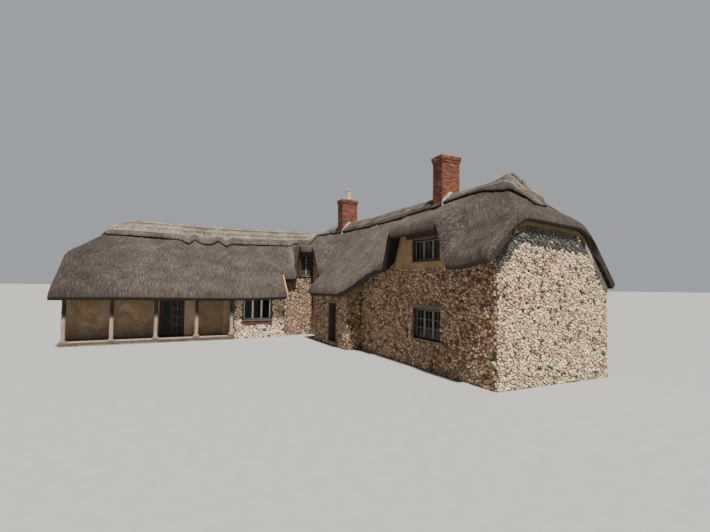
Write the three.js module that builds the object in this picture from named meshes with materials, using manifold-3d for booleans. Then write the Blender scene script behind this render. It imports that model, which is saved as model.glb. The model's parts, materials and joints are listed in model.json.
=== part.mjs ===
// An L-shaped thatched cottage: a two-storey main range with half-hipped ends, a lower wing with a
// veranda, two brick chimneys, an eyebrow dormer and a small dormer in the inner corner.
// Millimetres, +Z up. The main range runs along Y and the wing along X. The origin is on the ground,
// under the middle of the main range.
import * as THREE from 'three';
import { mergeVertices } from 'three/addons/utils/BufferGeometryUtils.js';
import Module from 'manifold-3d';

const wasm = await Module();
wasm.setup();

// Fits
const GAP = 0.3;
const HALF_GAP = GAP / 2;
const LAP = 2;
const SEAT = 0.4;

// Levels
const FLOOR = 200;
const DOOR_SILL = 20;
const UPPER_FLOOR = 2800;
const UPPER_FLOOR_DEPTH = 200;
const SKY = 12000;

// Main range, outer faces of its walls
const MAIN_FRONT = -2700;
const MAIN_REAR = 2700;
const MAIN_NEAR = -10680;
const MAIN_FAR = 10670;
const STONE_WALL = 500;

// Outshut that carries the low thatch over the front door
const OUT_FRONT = -3500;
const OUT_NEAR = -1630;
const OUT_FAR = 2620;
const OUT_WALL = 450;

// Wing, outer faces of its walls
const WING_END = -16100;
const WING_FRONT = 5170;
const WING_REAR = 10450;
const RENDER_WALL = 300;
const ROOM_FRONT = 4470;
const ROOM_LEFT = -7740;
const ROOM_RIGHT = -4790;

// Veranda
const POST_LINE = 4440;
const POST_FIRST = -15920;
const POST_BAY = 2040;
const POST_LAST = -7920;
const POST_SIZE = 190;
const POST_CHAMFER = 20;
const PAD_SIZE = 330;
const PAD_CHAMFER = 40;
const PAD_HEIGHTS = [70, 70, 100, 140, 170];
const PLATE_UNDERSIDE = 2400;
const PLATE_DEPTH = 180;

// Main roof: top surface of the thatch
const THATCH = 500;
const EAVE_CUT = { set: 150, drop: 370 };
const REAR_CUT = { set: 150, drop: 330 };
const HIP_CUT = { set: 60, drop: 190 };
const WING_HIP_CUT = { set: 110, drop: 330 };
// The free lower edge is rounded over within `set` of its end and drops `fall` on level thatch.
// Below it is a thin cut face. `row` is where the rounding has one more station.
const EAVE_ROLL = { set: 240, row: 0.35, fall: 500, least: 100, face: 60 };
const NEAR_HIP_DRESSING = { middle: -260, half: 1200, fade: 700, deep: 1500, thinner: 180, roll: 0.4 };
const RIDGE = 7350;
const RIDGE_SAG = { drop: 50, at: 2500, spread: 4500 };
const CREST_TUFT = { rise: 280, y: -8850, spread: 650 };
const CREST_HALF = 150;
const FRONT_PITCH = { near: 0.98, far: 1.12, from: -4800, to: -1300 };
const REAR_PITCH = 1.33;
const VERGE_LIFT = { rise: 200, spread: 900 };
const NEAR_EDGE = -10900;
const FAR_EDGE = 10930;
const HIP_PITCH = 0.79;
const NEAR_HIP_EAVE = 5470;
const NEAR_HIP_TILT = -0.06;
const FAR_HIP_EAVE = 5700;
const REAR_EAVE = 2870;
const FRONT_EAVE = { high: -3290, low: -3900, from: -4000, to: -1200 };
const LOW_EAVE_END = 2870;

// Wing roof
const WING_RIDGE_LINE = 7450;
const WING_RIDGE = 6790;
const WING_SAG = { drop: 90, at: -7500, spread: 4000 };
const WING_PITCH = 1.165;
const WING_EAVE = 3900;
const WING_REAR_EAVE = 10980;
const WING_LEFT = -16530;
const WING_HIP_EDGE = -16230;
const WING_HIP_PITCH = 0.71;
const WING_HIP_EAVE = 4690;
const CORNER_EAVE = 4820;
const CORNER_LEFT = -4790;
const VALLEY_SPLIT = -3000;
const VALLEY_SOFT = 500;
const CREASE_SOFT = 160;

// Eyebrow dormer over the front wall, and the dormer in the inner corner
const EYEBROW = { top: 5640, from: -8230, to: -5330, cheek: 850, rise: 0.4, steep: 1830 };
const CORNER_DORMER = {
  top: 5740, left: -3680, cheek: 300, near: 4700, ramp: 1500, back: 6900, steep: 2130,
};

// Ridge caps of cut thatch
const CAP_THICK = 80;
const CAP_BITE = 150;
const MAIN_CAP_HALF = 620;
const MAIN_CAP_WRAP = 1600;
const MAIN_CAP_SWELL = { by: 120, at: 850, spread: 800 };
const MAIN_CAP_PINCH = { by: 250, at: -7000, spread: 1200 };
const MAIN_CAP_HOOD = { share: 0.45, length: 600 };
const WING_CAP_HALF = 880;
const WING_CAP_WRAP = 1400;
const WING_CAP_STOP = -1150;

// Chimneys
const CHIMNEY_NEAR = { x: 490, y0: -5210, y1: -4520, top: 9230 };
const CHIMNEY_FAR = { x: 550, y0: 5430, y1: 6190, top: 9060 };
const CORBEL = { out: 60, height: 330, neck: 110 };
const POT = { y: 5620, bore: 90, radius: 130, lip: 150, height: 700 };

// Windows and doors: [from, to] along the wall, [sill, head] in height
const WINDOW_FRAME = 60;
const WINDOW_DEPTH = 110;
const PANE = 24;
const REVEAL = 110;
const DARK = 'dark_timber';
const PAINTED = 'window_frame';
const EYEBROW_WINDOW = { span: [-7900, -6120], height: [4180, 5050], lights: 3, slot: DARK };
const FRONT_WINDOW = { span: [-7900, -6200], height: [1150, 2330], lights: 3, slot: DARK };
const ROOM_WINDOW = { span: [-7220, -5620], height: [1080, 2290], lights: 3, slot: PAINTED };
const CORNER_WINDOW = { span: [-3480, -2810], height: [3700, 5100], lights: 2, slot: PAINTED };
const REAR_WINDOWS = [-7200, -1000, 5200];
const REAR_WINDOW = { width: 1300, height: [1150, 2330], lights: 2, slot: PAINTED };
const WING_WINDOWS = [-12800, -7000];
const VERANDA_DOOR = { span: [-11660, -10380], head: 2320, depth: 205 };
const FRONT_DOOR = { span: [-330, 570], head: 2230, depth: 305 };
const DOOR_FRAME = 70;
const DOOR_FRAME_DEPTH = 110;
const LEAF = 45;
const LEAF_CLEAR = 6;
const LEAF_MEET = 10;
const LEAF_PANE = 10;
const STILE = 95;
const BOTTOM_RAIL = 190;
const HINGE = { radius: 9, out: 10, flap: 28, bite: 3, length: 45, places: [0.1, 0.48, 0.86] };

// Materials: colour, roughness and metalness of each finish
const finish = (name, color, roughness, metalness = 0) => {
  const material = new THREE.MeshStandardMaterial({ color, roughness, metalness });
  material.name = name;
  return material;
};
const THATCH_FINISH = finish('thatch', 0x6f655a, 0.95);
const CAP_FINISH = finish('ridge_thatch', 0xa8977d, 0.95);
const STONE_FINISH = finish('rubble_stone', 0xb39a82, 0.9);
const RENDER_FINISH = finish('limewash', 0xcdb98a, 0.9);
const BRICK_FINISH = finish('brick', 0xa9522f, 0.85);
const TIMBER_FINISH = finish('weathered_timber', 0x8d867c, 0.8);
const FLOOR_FINISH = finish('floor_stone', 0xa8948a, 0.9);
const BOARD_FINISH = finish('floor_boards', 0x8a6a48, 0.7);
const FRAME_FINISH = finish('window_frame', 0xe4e2dc, 0.5);
const DARK_FRAME_FINISH = finish('dark_timber', 0x3b2a20, 0.6);
const POT_FINISH = finish('clay_pot', 0xc9a383, 0.8);
const WINDOW_FINISHES = { [DARK]: DARK_FRAME_FINISH, [PAINTED]: FRAME_FINISH };

// Solids
const lerp = (a, b, t) => a + (b - a) * t;
const smoothstep = (t) => THREE.MathUtils.smoothstep(t, 0, 1);
const bell = (value, { at, spread }) => Math.exp(-(((value - at) / spread) ** 2));
const softMax = (a, b, soft) => (a + b + Math.hypot(a - b, soft)) / 2;
const softMin = (a, b, soft) => (a + b - Math.hypot(a - b, soft)) / 2;

function toSolid(geometry) {
  const bare = geometry.clone();
  bare.deleteAttribute('normal');
  bare.deleteAttribute('uv');
  const merged = mergeVertices(bare, 1e-3);
  return new wasm.Manifold(new wasm.Mesh({
    numProp: 3,
    vertProperties: new Float32Array(merged.attributes.position.array),
    triVerts: new Uint32Array(merged.index.array),
  }));
}

function toGeometry(solid) {
  const mesh = solid.getMesh();
  const geometry = new THREE.BufferGeometry();
  geometry.setAttribute('position', new THREE.BufferAttribute(mesh.vertProperties, 3));
  geometry.setIndex(new THREE.BufferAttribute(mesh.triVerts, 1));
  geometry.computeVertexNormals();
  return geometry;
}

function box(x0, x1, y0, y1, z0, z1) {
  const geometry = new THREE.BoxGeometry(x1 - x0, y1 - y0, z1 - z0);
  return geometry.translate((x0 + x1) / 2, (y0 + y1) / 2, (z0 + z1) / 2);
}

const block = (...sides) => toSolid(box(...sides));
const cut = (solid, tools) => tools.reduce((left, tool) => left.subtract(tool), solid);
const join = (solids) => solids.reduce((left, right) => left.add(right));

// Roof surface. Each slope is a plane, and the planes meet in soft creases.
const ridgeHeight = (y) => RIDGE - RIDGE_SAG.drop * bell(y, RIDGE_SAG);
const crestTuft = (x, y) => CREST_TUFT.rise
  * bell(x, { at: 0, spread: CREST_TUFT.spread }) * bell(y, { at: CREST_TUFT.y, spread: CREST_TUFT.spread });
const frontPitch = (y) => lerp(FRONT_PITCH.near, FRONT_PITCH.far,
  smoothstep((y - FRONT_PITCH.from) / (FRONT_PITCH.to - FRONT_PITCH.from)));
const vergeLift = (y) => VERGE_LIFT.rise * bell(y, { at: NEAR_EDGE, spread: VERGE_LIFT.spread });
const nearHip = (x, y) => NEAR_HIP_EAVE + NEAR_HIP_TILT * x + HIP_PITCH * (y - NEAR_EDGE);
const farHip = (y) => FAR_HIP_EAVE + HIP_PITCH * (FAR_EDGE - y);

function mainSurface(x, y) {
  const front = ridgeHeight(y) + frontPitch(y) * x + vergeLift(y);
  const rear = ridgeHeight(y) - REAR_PITCH * x;
  const slopes = softMin(front, rear, CREASE_SOFT);
  const nearEnd = softMin(slopes, nearHip(x, y), CREASE_SOFT);
  return softMin(nearEnd, farHip(y), CREASE_SOFT) + crestTuft(x, y);
}

function wingSurface(x, y) {
  const ridge = WING_RIDGE - WING_SAG.drop * bell(x, WING_SAG);
  const front = ridge - WING_PITCH * (WING_RIDGE_LINE - y);
  const rear = ridge - WING_PITCH * (y - WING_RIDGE_LINE);
  const hip = WING_HIP_EAVE + WING_HIP_PITCH * (x - WING_HIP_EDGE);
  return softMin(softMin(front, rear, CREASE_SOFT), hip, CREASE_SOFT);
}

// A dormer's cheek curves down from its level top, and past `width` goes on in a straight fall
function cheekFall(outside, width) {
  const share = outside / width;
  return smoothstep(share) + Math.max(share - 1, 0);
}

function eyebrowSurface(x, y) {
  const outside = Math.max(EYEBROW.from - y, y - EYEBROW.to, 0);
  const level = EYEBROW.top + EYEBROW.rise * (x - FRONT_EAVE.high);
  return level - cheekFall(outside, EYEBROW.cheek) * EYEBROW.steep;
}

function cornerDormerSurface(x, y) {
  const left = Math.max(CORNER_DORMER.left - x, 0);
  const near = Math.max(CORNER_DORMER.near - y, 0);
  const back = Math.max(y - CORNER_DORMER.back, 0);
  const fall = cheekFall(left, CORNER_DORMER.cheek) + cheekFall(near, CORNER_DORMER.ramp);
  return CORNER_DORMER.top - fall * CORNER_DORMER.steep - 2 * back;
}

function roofSurface(x, y) {
  let height = mainSurface(x, y);
  if (x < 0) {
    height = softMax(height, wingSurface(x, y), VALLEY_SOFT);
    height = softMax(height, cornerDormerSurface(x, y), CREASE_SOFT);
    height = softMax(height, eyebrowSurface(x, y), CREASE_SOFT);
  }
  return height;
}

// The near half hip is dressed finer than the rest: its thatch is thinner and its edge rolls over less
const hipShare = (x, y) => {
  const { middle, half, fade, deep } = NEAR_HIP_DRESSING;
  return (1 - smoothstep((Math.abs(x - middle) - half) / fade)) * (1 - smoothstep((y - NEAR_EDGE) / deep));
};
const thatchDepth = (x, y) => THATCH - NEAR_HIP_DRESSING.thinner * hipShare(x, y);

// How far the rounded lower edge falls below the roof surface: less where the slope itself is steep
function edgeFall(x, y) {
  const step = 20;
  const rise = Math.hypot(roofSurface(x + step, y) - roofSurface(x - step, y),
    roofSurface(x, y + step) - roofSurface(x, y - step)) / (2 * step);
  const fall = Math.max(EAVE_ROLL.fall - rise * EAVE_ROLL.set, EAVE_ROLL.least);
  return fall * lerp(1, NEAR_HIP_DRESSING.roll, hipShare(x, y));
}

// Stations between 0 and 1 that fall on each break, with `counts` steps between one break and the next
function stations(breaks, counts) {
  const values = [0];
  counts.forEach((count, index) => {
    for (let i = 1; i <= count; i += 1) values.push(lerp(breaks[index], breaks[index + 1], i / count));
  });
  return values;
}
const evenly = (count) => stations([0, 1], [count]);

// Stations from an eave to the ridge, `span` apart, with the rounded edge's own ones put in
const fromEave = (span, values) => [
  0, (EAVE_ROLL.set * EAVE_ROLL.row) / span, EAVE_ROLL.set / span, ...values.slice(1),
];

// A closed solid between a top and a bottom sheet, both laid over the same grid of stations.
// `crease` gives the height whose folds the grid's diagonals follow.
function sheetSolid({ across, along, top, bottom, crease }) {
  const positions = [];
  const indices = [];
  const stride = across.length;
  const columns = across.length - 1;
  const rows = along.length - 1;
  const count = stride * along.length;
  for (const sheet of [top, bottom]) {
    for (const t of along) {
      for (const s of across) positions.push(...sheet(s, t));
    }
  }
  const [x0, y0] = top(0, 0);
  const [x1, y1] = top(1, 0);
  const [x2, y2] = top(0.5, 1);
  const clockwise = (x1 - x0) * (y2 - y0) < (y1 - y0) * (x2 - x0);
  const quad = (a, b, c, d) => {
    if (clockwise) indices.push(c, b, a, d, c, a);
    else indices.push(a, b, c, a, c, d);
  };
  for (let j = 0; j < rows; j += 1) {
    for (let i = 0; i < columns; i += 1) {
      const [a, b] = [j * stride + i, j * stride + i + 1];
      const [c, d] = [b + stride, a + stride];
      const [s0, s1, t0, t1] = [across[i], across[i + 1], along[j], along[j + 1]];
      const middle = crease((s0 + s1) / 2, (t0 + t1) / 2);
      const alongAC = Math.abs((crease(s0, t0) + crease(s1, t1)) / 2 - middle);
      const alongBD = Math.abs((crease(s1, t0) + crease(s0, t1)) / 2 - middle);
      const turn = alongAC <= alongBD ? [a, b, c, d] : [b, c, d, a];
      quad(...turn);
      const [e, f, g, h] = turn.map((index) => index + count);
      quad(e, h, g, f);
    }
  }
  const rim = [];
  for (let i = 0; i < columns; i += 1) rim.push(i);
  for (let j = 0; j < rows; j += 1) rim.push(j * stride + columns);
  for (let i = columns; i > 0; i -= 1) rim.push(rows * stride + i);
  for (let j = rows; j > 0; j -= 1) rim.push(j * stride);
  rim.forEach((index, place) => {
    const next = rim[(place + 1) % rim.length];
    quad(index + count, next + count, next, index);
  });
  const geometry = new THREE.BufferGeometry();
  geometry.setAttribute('position', new THREE.Float32BufferAttribute(positions, 3));
  geometry.setIndex(indices);
  return geometry;
}

// A slope of thatch: `place` gives a point of the plan, s along the eave and t from eave to ridge.
// `eave` says how far the underside is set back and dropped along the cut lower edge. Besides the
// thatch, this gives what it cuts away from the walls under it and from the ridge cap over it.
// Stations below 0 or above 1 reach a little past the slope's own edges.
function thatchSlope({ across, along, place, eave }) {
  const inRange = (value) => THREE.MathUtils.clamp(value, 0, 1);
  const reach = (value) => {
    if (value !== inRange(value)) return LAP;
    return value < 1e-9 || value > 1 - 1e-9 ? -HALF_GAP : 0;
  };
  const crease = (s, t) => roofSurface(...place(inRange(s), inRange(t)));
  const depth = (s) => new THREE.Vector2(...place(s, 0)).distanceTo(new THREE.Vector2(...place(s, 1)));
  const plan = (s, t) => {
    const [s1, t1] = [inRange(s), inRange(t)];
    const start = new THREE.Vector2(...place(s1, t1));
    const point = start.clone();
    const step = 0.01;
    const push = (distance, inner) => {
      if (distance) point.add(start.clone().sub(new THREE.Vector2(...inner)).setLength(distance));
    };
    push(reach(s), place(s1 < 0.5 ? step : 1 - step, t1));
    push(reach(t), place(s1, t1 < 0.5 ? step : 1 - step));
    return [point.x, point.y];
  };
  const over = (lift) => (s, t) => {
    const [x, y] = plan(s, t);
    const height = roofSurface(x, y) + lift;
    if (!eave) return [x, y, height];
    const inward = Math.max(1 - (t * depth(inRange(s))) / EAVE_ROLL.set, 0);
    return [x, y, height - edgeFall(x, y) * (1 - Math.sqrt(1 - Math.min(inward, 1) ** 2))];
  };
  const under = (lift) => (s, t) => {
    const [x, y] = plan(s, t);
    const height = roofSurface(x, y) + lift;
    if (!eave) return [x, y, height - thatchDepth(x, y)];
    if (t < 0) return [x, y, height];
    const span = depth(inRange(s));
    const inward = eave.set + t * span * (1 - eave.set / EAVE_ROLL.set);
    const [setX, setY] = plan(s, Math.max(t, inward / span));
    if (t > 1e-9) return [setX, setY, roofSurface(setX, setY) + lift - thatchDepth(setX, setY)];
    return [setX, setY, height - Math.max(eave.drop, edgeFall(x, y) + EAVE_ROLL.face)];
  };
  const level = (height) => (s, t) => [...plan(s, t), height];
  const past = (values) => [-1, ...values, 2];
  const wide = { across: past(across), along: past(along), crease };
  return {
    solid: toSolid(sheetSolid({ across, along, crease, top: over(0), bottom: under(0) })),
    above: toSolid(sheetSolid({ ...wide, top: level(SKY), bottom: under(-SEAT) })),
    below: toSolid(sheetSolid({ ...wide, top: over(SEAT), bottom: level(0) })),
  };
}

// Where the hip creases cross the plan
const hipFoot = {
  front: -(RIDGE + VERGE_LIFT.rise - NEAR_HIP_EAVE) / (FRONT_PITCH.near - NEAR_HIP_TILT),
  rear: (RIDGE - NEAR_HIP_EAVE) / (REAR_PITCH + NEAR_HIP_TILT),
  farFront: -(RIDGE - FAR_HIP_EAVE) / FRONT_PITCH.far,
  farRear: (RIDGE - FAR_HIP_EAVE) / REAR_PITCH,
};
const nearCrest = NEAR_EDGE + (RIDGE - NEAR_HIP_EAVE) / HIP_PITCH;
const farCrest = FAR_EDGE - (RIDGE - FAR_HIP_EAVE) / HIP_PITCH;
const wingCrest = WING_HIP_EDGE + (WING_RIDGE - WING_HIP_EAVE) / WING_HIP_PITCH;
const wingHipFoot = (WING_RIDGE - WING_HIP_EAVE) / WING_PITCH;

// Along a crease from its foot to the crest: how far the crease has risen at this distance out
const creaseShare = (distance, foot) => THREE.MathUtils.clamp(
  1 - (Math.abs(distance) - CREST_HALF) / (Math.abs(foot) - CREST_HALF), 0, 1);
const nearStart = (x, foot) => lerp(NEAR_EDGE, nearCrest, creaseShare(x, foot));
const farStart = (x, foot) => lerp(FAR_EDGE, farCrest, creaseShare(x, foot));

// The wing's verge leans out from the foot of its half hip down to the eave
const wingStart = (distance) => {
  const below = Math.max(Math.abs(distance) - wingHipFoot, 0) / (WING_RIDGE_LINE - WING_EAVE - wingHipFoot);
  const edge = lerp(WING_HIP_EDGE, WING_LEFT, smoothstep(below));
  return lerp(edge, wingCrest, creaseShare(distance, wingHipFoot));
};

const frontEave = (y) => lerp(FRONT_EAVE.high, FRONT_EAVE.low,
  smoothstep((y - FRONT_EAVE.from) / (FRONT_EAVE.to - FRONT_EAVE.from)));

const FRONT_SPAN = -FRONT_EAVE.high;
const frontStations = stations(
  [0, 1 + hipFoot.front / FRONT_SPAN, 1 - CREST_HALF / FRONT_SPAN, 1], [3, 4, 1]);
const rearStations = stations([
  0, 1 - hipFoot.rear / REAR_EAVE, 1 - hipFoot.farRear / REAR_EAVE, 1 - CREST_HALF / REAR_EAVE, 1,
], [2, 1, 3, 1]);
const valleyStations = stations(
  [0, 1 - hipFoot.farFront / VALLEY_SPLIT, 1 + CREST_HALF / VALLEY_SPLIT, 1], [3, 4, 1]);
const wingStations = (eaveLine) => {
  const span = Math.abs(WING_RIDGE_LINE - eaveLine);
  return stations([0, 1 - wingHipFoot / span, 1 - CREST_HALF / span, 1], [3, 3, 1]);
};

const slopes = {
  main_front_thatch: thatchSlope({
    across: evenly(30),
    along: fromEave(FRONT_SPAN, frontStations),
    eave: EAVE_CUT,
    place: (s, t) => {
      const start = nearStart(lerp(FRONT_EAVE.high, 0, t), hipFoot.front);
      const y = lerp(LOW_EAVE_END, start, s);
      return [lerp(frontEave(y), 0, t), y];
    },
  }),
  main_rear_thatch: thatchSlope({
    across: evenly(14),
    along: fromEave(REAR_EAVE, rearStations),
    eave: REAR_CUT,
    place: (s, t) => {
      const x = lerp(REAR_EAVE, 0, t);
      return [x, lerp(nearStart(x, hipFoot.rear), farStart(x, hipFoot.farRear), s)];
    },
  }),
  near_half_hip_thatch: thatchSlope({
    across: evenly(10),
    along: fromEave(nearCrest - NEAR_EDGE, evenly(4)),
    eave: HIP_CUT,
    place: (s, t) => [
      lerp(lerp(hipFoot.front, -CREST_HALF, t), lerp(hipFoot.rear, CREST_HALF, t), s),
      lerp(NEAR_EDGE, nearCrest, t),
    ],
  }),
  far_half_hip_thatch: thatchSlope({
    across: evenly(8),
    along: fromEave(FAR_EDGE - farCrest, evenly(4)),
    eave: HIP_CUT,
    place: (s, t) => [
      lerp(lerp(hipFoot.farRear, CREST_HALF, t), lerp(hipFoot.farFront, -CREST_HALF, t), s),
      lerp(FAR_EDGE, farCrest, t),
    ],
  }),
  valley_thatch: thatchSlope({
    across: evenly(18),
    along: valleyStations,
    eave: null,
    place: (s, t) => {
      const x = lerp(VALLEY_SPLIT, 0, t);
      return [x, lerp(farStart(x, hipFoot.farFront), LOW_EAVE_END, s)];
    },
  }),
  wing_front_thatch: thatchSlope({
    across: evenly(16),
    along: fromEave(WING_RIDGE_LINE - WING_EAVE, wingStations(WING_EAVE)),
    eave: EAVE_CUT,
    place: (s, t) => {
      const y = lerp(WING_EAVE, WING_RIDGE_LINE, t);
      return [lerp(wingStart(WING_RIDGE_LINE - y), CORNER_LEFT, s), y];
    },
  }),
  wing_corner_thatch: thatchSlope({
    across: evenly(10),
    along: fromEave(WING_RIDGE_LINE - CORNER_EAVE, evenly(7)),
    eave: EAVE_CUT,
    place: (s, t) => [lerp(CORNER_LEFT, VALLEY_SPLIT, s), lerp(CORNER_EAVE, WING_RIDGE_LINE, t)],
  }),
  wing_rear_thatch: thatchSlope({
    across: evenly(14),
    along: fromEave(WING_REAR_EAVE - WING_RIDGE_LINE, wingStations(WING_REAR_EAVE)),
    eave: EAVE_CUT,
    place: (s, t) => {
      const y = lerp(WING_REAR_EAVE, WING_RIDGE_LINE, t);
      return [lerp(VALLEY_SPLIT, wingStart(y - WING_RIDGE_LINE), s), y];
    },
  }),
  wing_half_hip_thatch: thatchSlope({
    across: evenly(8),
    along: fromEave(wingCrest - WING_HIP_EDGE, evenly(5)),
    eave: WING_HIP_CUT,
    place: (s, t) => [
      lerp(WING_HIP_EDGE, wingCrest, t),
      WING_RIDGE_LINE + lerp(lerp(wingHipFoot, CREST_HALF, t), lerp(-wingHipFoot, -CREST_HALF, t), s),
    ],
  }),
};
const underRoof = Object.values(slopes).map((slope) => slope.above);
const underSkin = Object.values(slopes).map((slope) => slope.below);

// The chimneys pass through the thatch and the ridge cap
function chimneyStack({ x, y0, y1, top }) {
  const { out, height, neck } = CORBEL;
  const cap = top - height;
  return join([
    block(-x, x, y0, y1, FLOOR + GAP, top),
    block(-x - out / 2, x + out / 2, y0 - out / 2, y1 + out / 2, cap, cap + neck),
    block(-x - out, x + out, y0 - out, y1 + out, cap + neck, top - neck / 2),
  ]);
}
const chimneyHole = ({ x, y0, y1 }, z0 = 0) => block(
  -x - GAP, x + GAP, y0 - GAP, y1 + GAP, z0, SKY);
const chimneyHoles = [chimneyHole(CHIMNEY_NEAR), chimneyHole(CHIMNEY_FAR)];

// Ridge caps lie on the thatch along each ridge
function ridgeCap({ across, along, place }) {
  const crease = (s, t) => roofSurface(...place(s, t));
  const sheet = (lift) => (s, t) => [...place(s, t), crease(s, t) + lift];
  const raw = toSolid(sheetSolid({ across, along, top: sheet(CAP_THICK), bottom: sheet(-CAP_BITE), crease }));
  return cut(raw, [...underSkin, ...chimneyHoles]);
}

// Half width of the main cap: hooded at its ends, swelling over the half hips, narrow beyond the near one
const mainCapEnds = { near: nearCrest - MAIN_CAP_WRAP, far: farCrest + MAIN_CAP_WRAP };
function mainCapHalf(y) {
  const end = Math.min(y - mainCapEnds.near, mainCapEnds.far - y);
  const swell = MAIN_CAP_SWELL.by * bell(end, MAIN_CAP_SWELL);
  const pinch = MAIN_CAP_PINCH.by * bell(y, MAIN_CAP_PINCH);
  const hood = lerp(MAIN_CAP_HOOD.share, 1, smoothstep(end / MAIN_CAP_HOOD.length));
  return (MAIN_CAP_HALF + swell - pinch) * hood;
}

const mainCap = ridgeCap({
  across: stations([0, 0.03, 0.2, 0.8, 0.97, 1], [3, 6, 14, 6, 3]),
  along: evenly(8),
  place: (s, t) => {
    const y = lerp(mainCapEnds.near, mainCapEnds.far, s);
    return [lerp(mainCapHalf(y), -mainCapHalf(y), t), y];
  },
});
const wingCap = ridgeCap({
  across: evenly(16),
  along: evenly(8),
  place: (s, t) => [
    lerp(wingCrest - WING_CAP_WRAP, WING_CAP_STOP, s),
    WING_RIDGE_LINE + lerp(-WING_CAP_HALF, WING_CAP_HALF, t),
  ],
});

// Walls
const opening = {
  alongX: ([x0, x1], [z0, z1], y0, y1) => block(x0, x1, y0 - LAP, y1 + LAP, z0, z1),
  alongY: ([y0, y1], [z0, z1], x0, x1) => block(x0 - LAP, x1 + LAP, y0, y1, z0, z1),
};
const wall = (sides, holes = []) => cut(block(...sides, 0, RIDGE), [...underRoof, ...holes]);
const rearSpan = (middle) => [middle - REAR_WINDOW.width / 2, middle + REAR_WINDOW.width / 2];

const outshutInner = OUT_FRONT + OUT_WALL;
const returnInner = MAIN_FRONT + STONE_WALL;
const [doorNear, doorFar] = FRONT_DOOR.span;
const roomInner = ROOM_FRONT + STONE_WALL;
const [verandaLeft, verandaRight] = VERANDA_DOOR.span;
const verandaInner = WING_FRONT + RENDER_WALL;

const walls = {
  near_gable_wall: wall([MAIN_FRONT, MAIN_REAR, MAIN_NEAR, MAIN_NEAR + STONE_WALL]),
  far_gable_wall: wall([MAIN_FRONT, MAIN_REAR, MAIN_FAR - STONE_WALL, MAIN_FAR]),
  main_front_wall: wall(
    [MAIN_FRONT, returnInner, MAIN_NEAR + STONE_WALL + GAP, OUT_NEAR - GAP],
    [
      opening.alongY(EYEBROW_WINDOW.span, EYEBROW_WINDOW.height, MAIN_FRONT, returnInner),
      opening.alongY(FRONT_WINDOW.span, FRONT_WINDOW.height, MAIN_FRONT, returnInner),
    ]),
  main_rear_wall: wall(
    [MAIN_REAR - STONE_WALL, MAIN_REAR, MAIN_NEAR + STONE_WALL + GAP, MAIN_FAR - STONE_WALL - GAP],
    REAR_WINDOWS.map((middle) => opening.alongY(
      rearSpan(middle), REAR_WINDOW.height, MAIN_REAR - STONE_WALL, MAIN_REAR))),
  outshut_near_wall: join([
    wall([OUT_FRONT, outshutInner, OUT_NEAR, doorNear - GAP]),
    wall([outshutInner - LAP, returnInner, OUT_NEAR, OUT_NEAR + OUT_WALL]),
  ]),
  outshut_door_lintel: cut(
    wall([OUT_FRONT, outshutInner, doorNear, doorFar]),
    [block(OUT_FRONT - LAP, outshutInner + LAP, doorNear - LAP, doorFar + LAP, -LAP, FRONT_DOOR.head)]),
  outshut_far_wall: join([
    wall([OUT_FRONT, outshutInner, doorFar + GAP, OUT_FAR]),
    wall([outshutInner - LAP, returnInner, OUT_FAR - OUT_WALL, OUT_FAR]),
  ]),
  inner_corner_wall: join([
    wall([MAIN_FRONT, returnInner, OUT_FAR + GAP, WING_FRONT + LAP]),
    wall(
      [ROOM_RIGHT + GAP, returnInner, WING_FRONT, WING_FRONT + STONE_WALL],
      [opening.alongX(CORNER_WINDOW.span, CORNER_WINDOW.height, WING_FRONT, WING_FRONT + STONE_WALL)]),
  ]),
  garden_room_wall: join([
    wall(
      [ROOM_LEFT, ROOM_RIGHT, ROOM_FRONT, roomInner],
      [opening.alongX(ROOM_WINDOW.span, ROOM_WINDOW.height, ROOM_FRONT, roomInner)]),
    wall([ROOM_LEFT, ROOM_LEFT + RENDER_WALL, roomInner - LAP, WING_FRONT - GAP]),
    wall([ROOM_RIGHT - STONE_WALL, ROOM_RIGHT, roomInner - LAP, WING_FRONT + STONE_WALL]),
  ]),
  veranda_wall_left: wall([WING_END + STONE_WALL + GAP, verandaLeft - GAP, WING_FRONT, verandaInner]),
  veranda_wall_over_door: cut(
    wall([verandaLeft, verandaRight, WING_FRONT, verandaInner]),
    [block(verandaLeft - LAP, verandaRight + LAP, WING_FRONT - LAP, verandaInner + LAP,
      -LAP, VERANDA_DOOR.head)]),
  veranda_wall_right: wall(
    [verandaRight + GAP, ROOM_LEFT + RENDER_WALL, WING_FRONT, verandaInner]),
  wing_end_wall: wall([WING_END, WING_END + STONE_WALL, WING_FRONT, WING_REAR]),
  wing_rear_wall: wall(
    [WING_END + STONE_WALL + GAP, MAIN_FRONT - GAP, WING_REAR - STONE_WALL, WING_REAR],
    WING_WINDOWS.map((middle) => opening.alongX(
      rearSpan(middle), REAR_WINDOW.height, WING_REAR - STONE_WALL, WING_REAR))),
};

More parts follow.
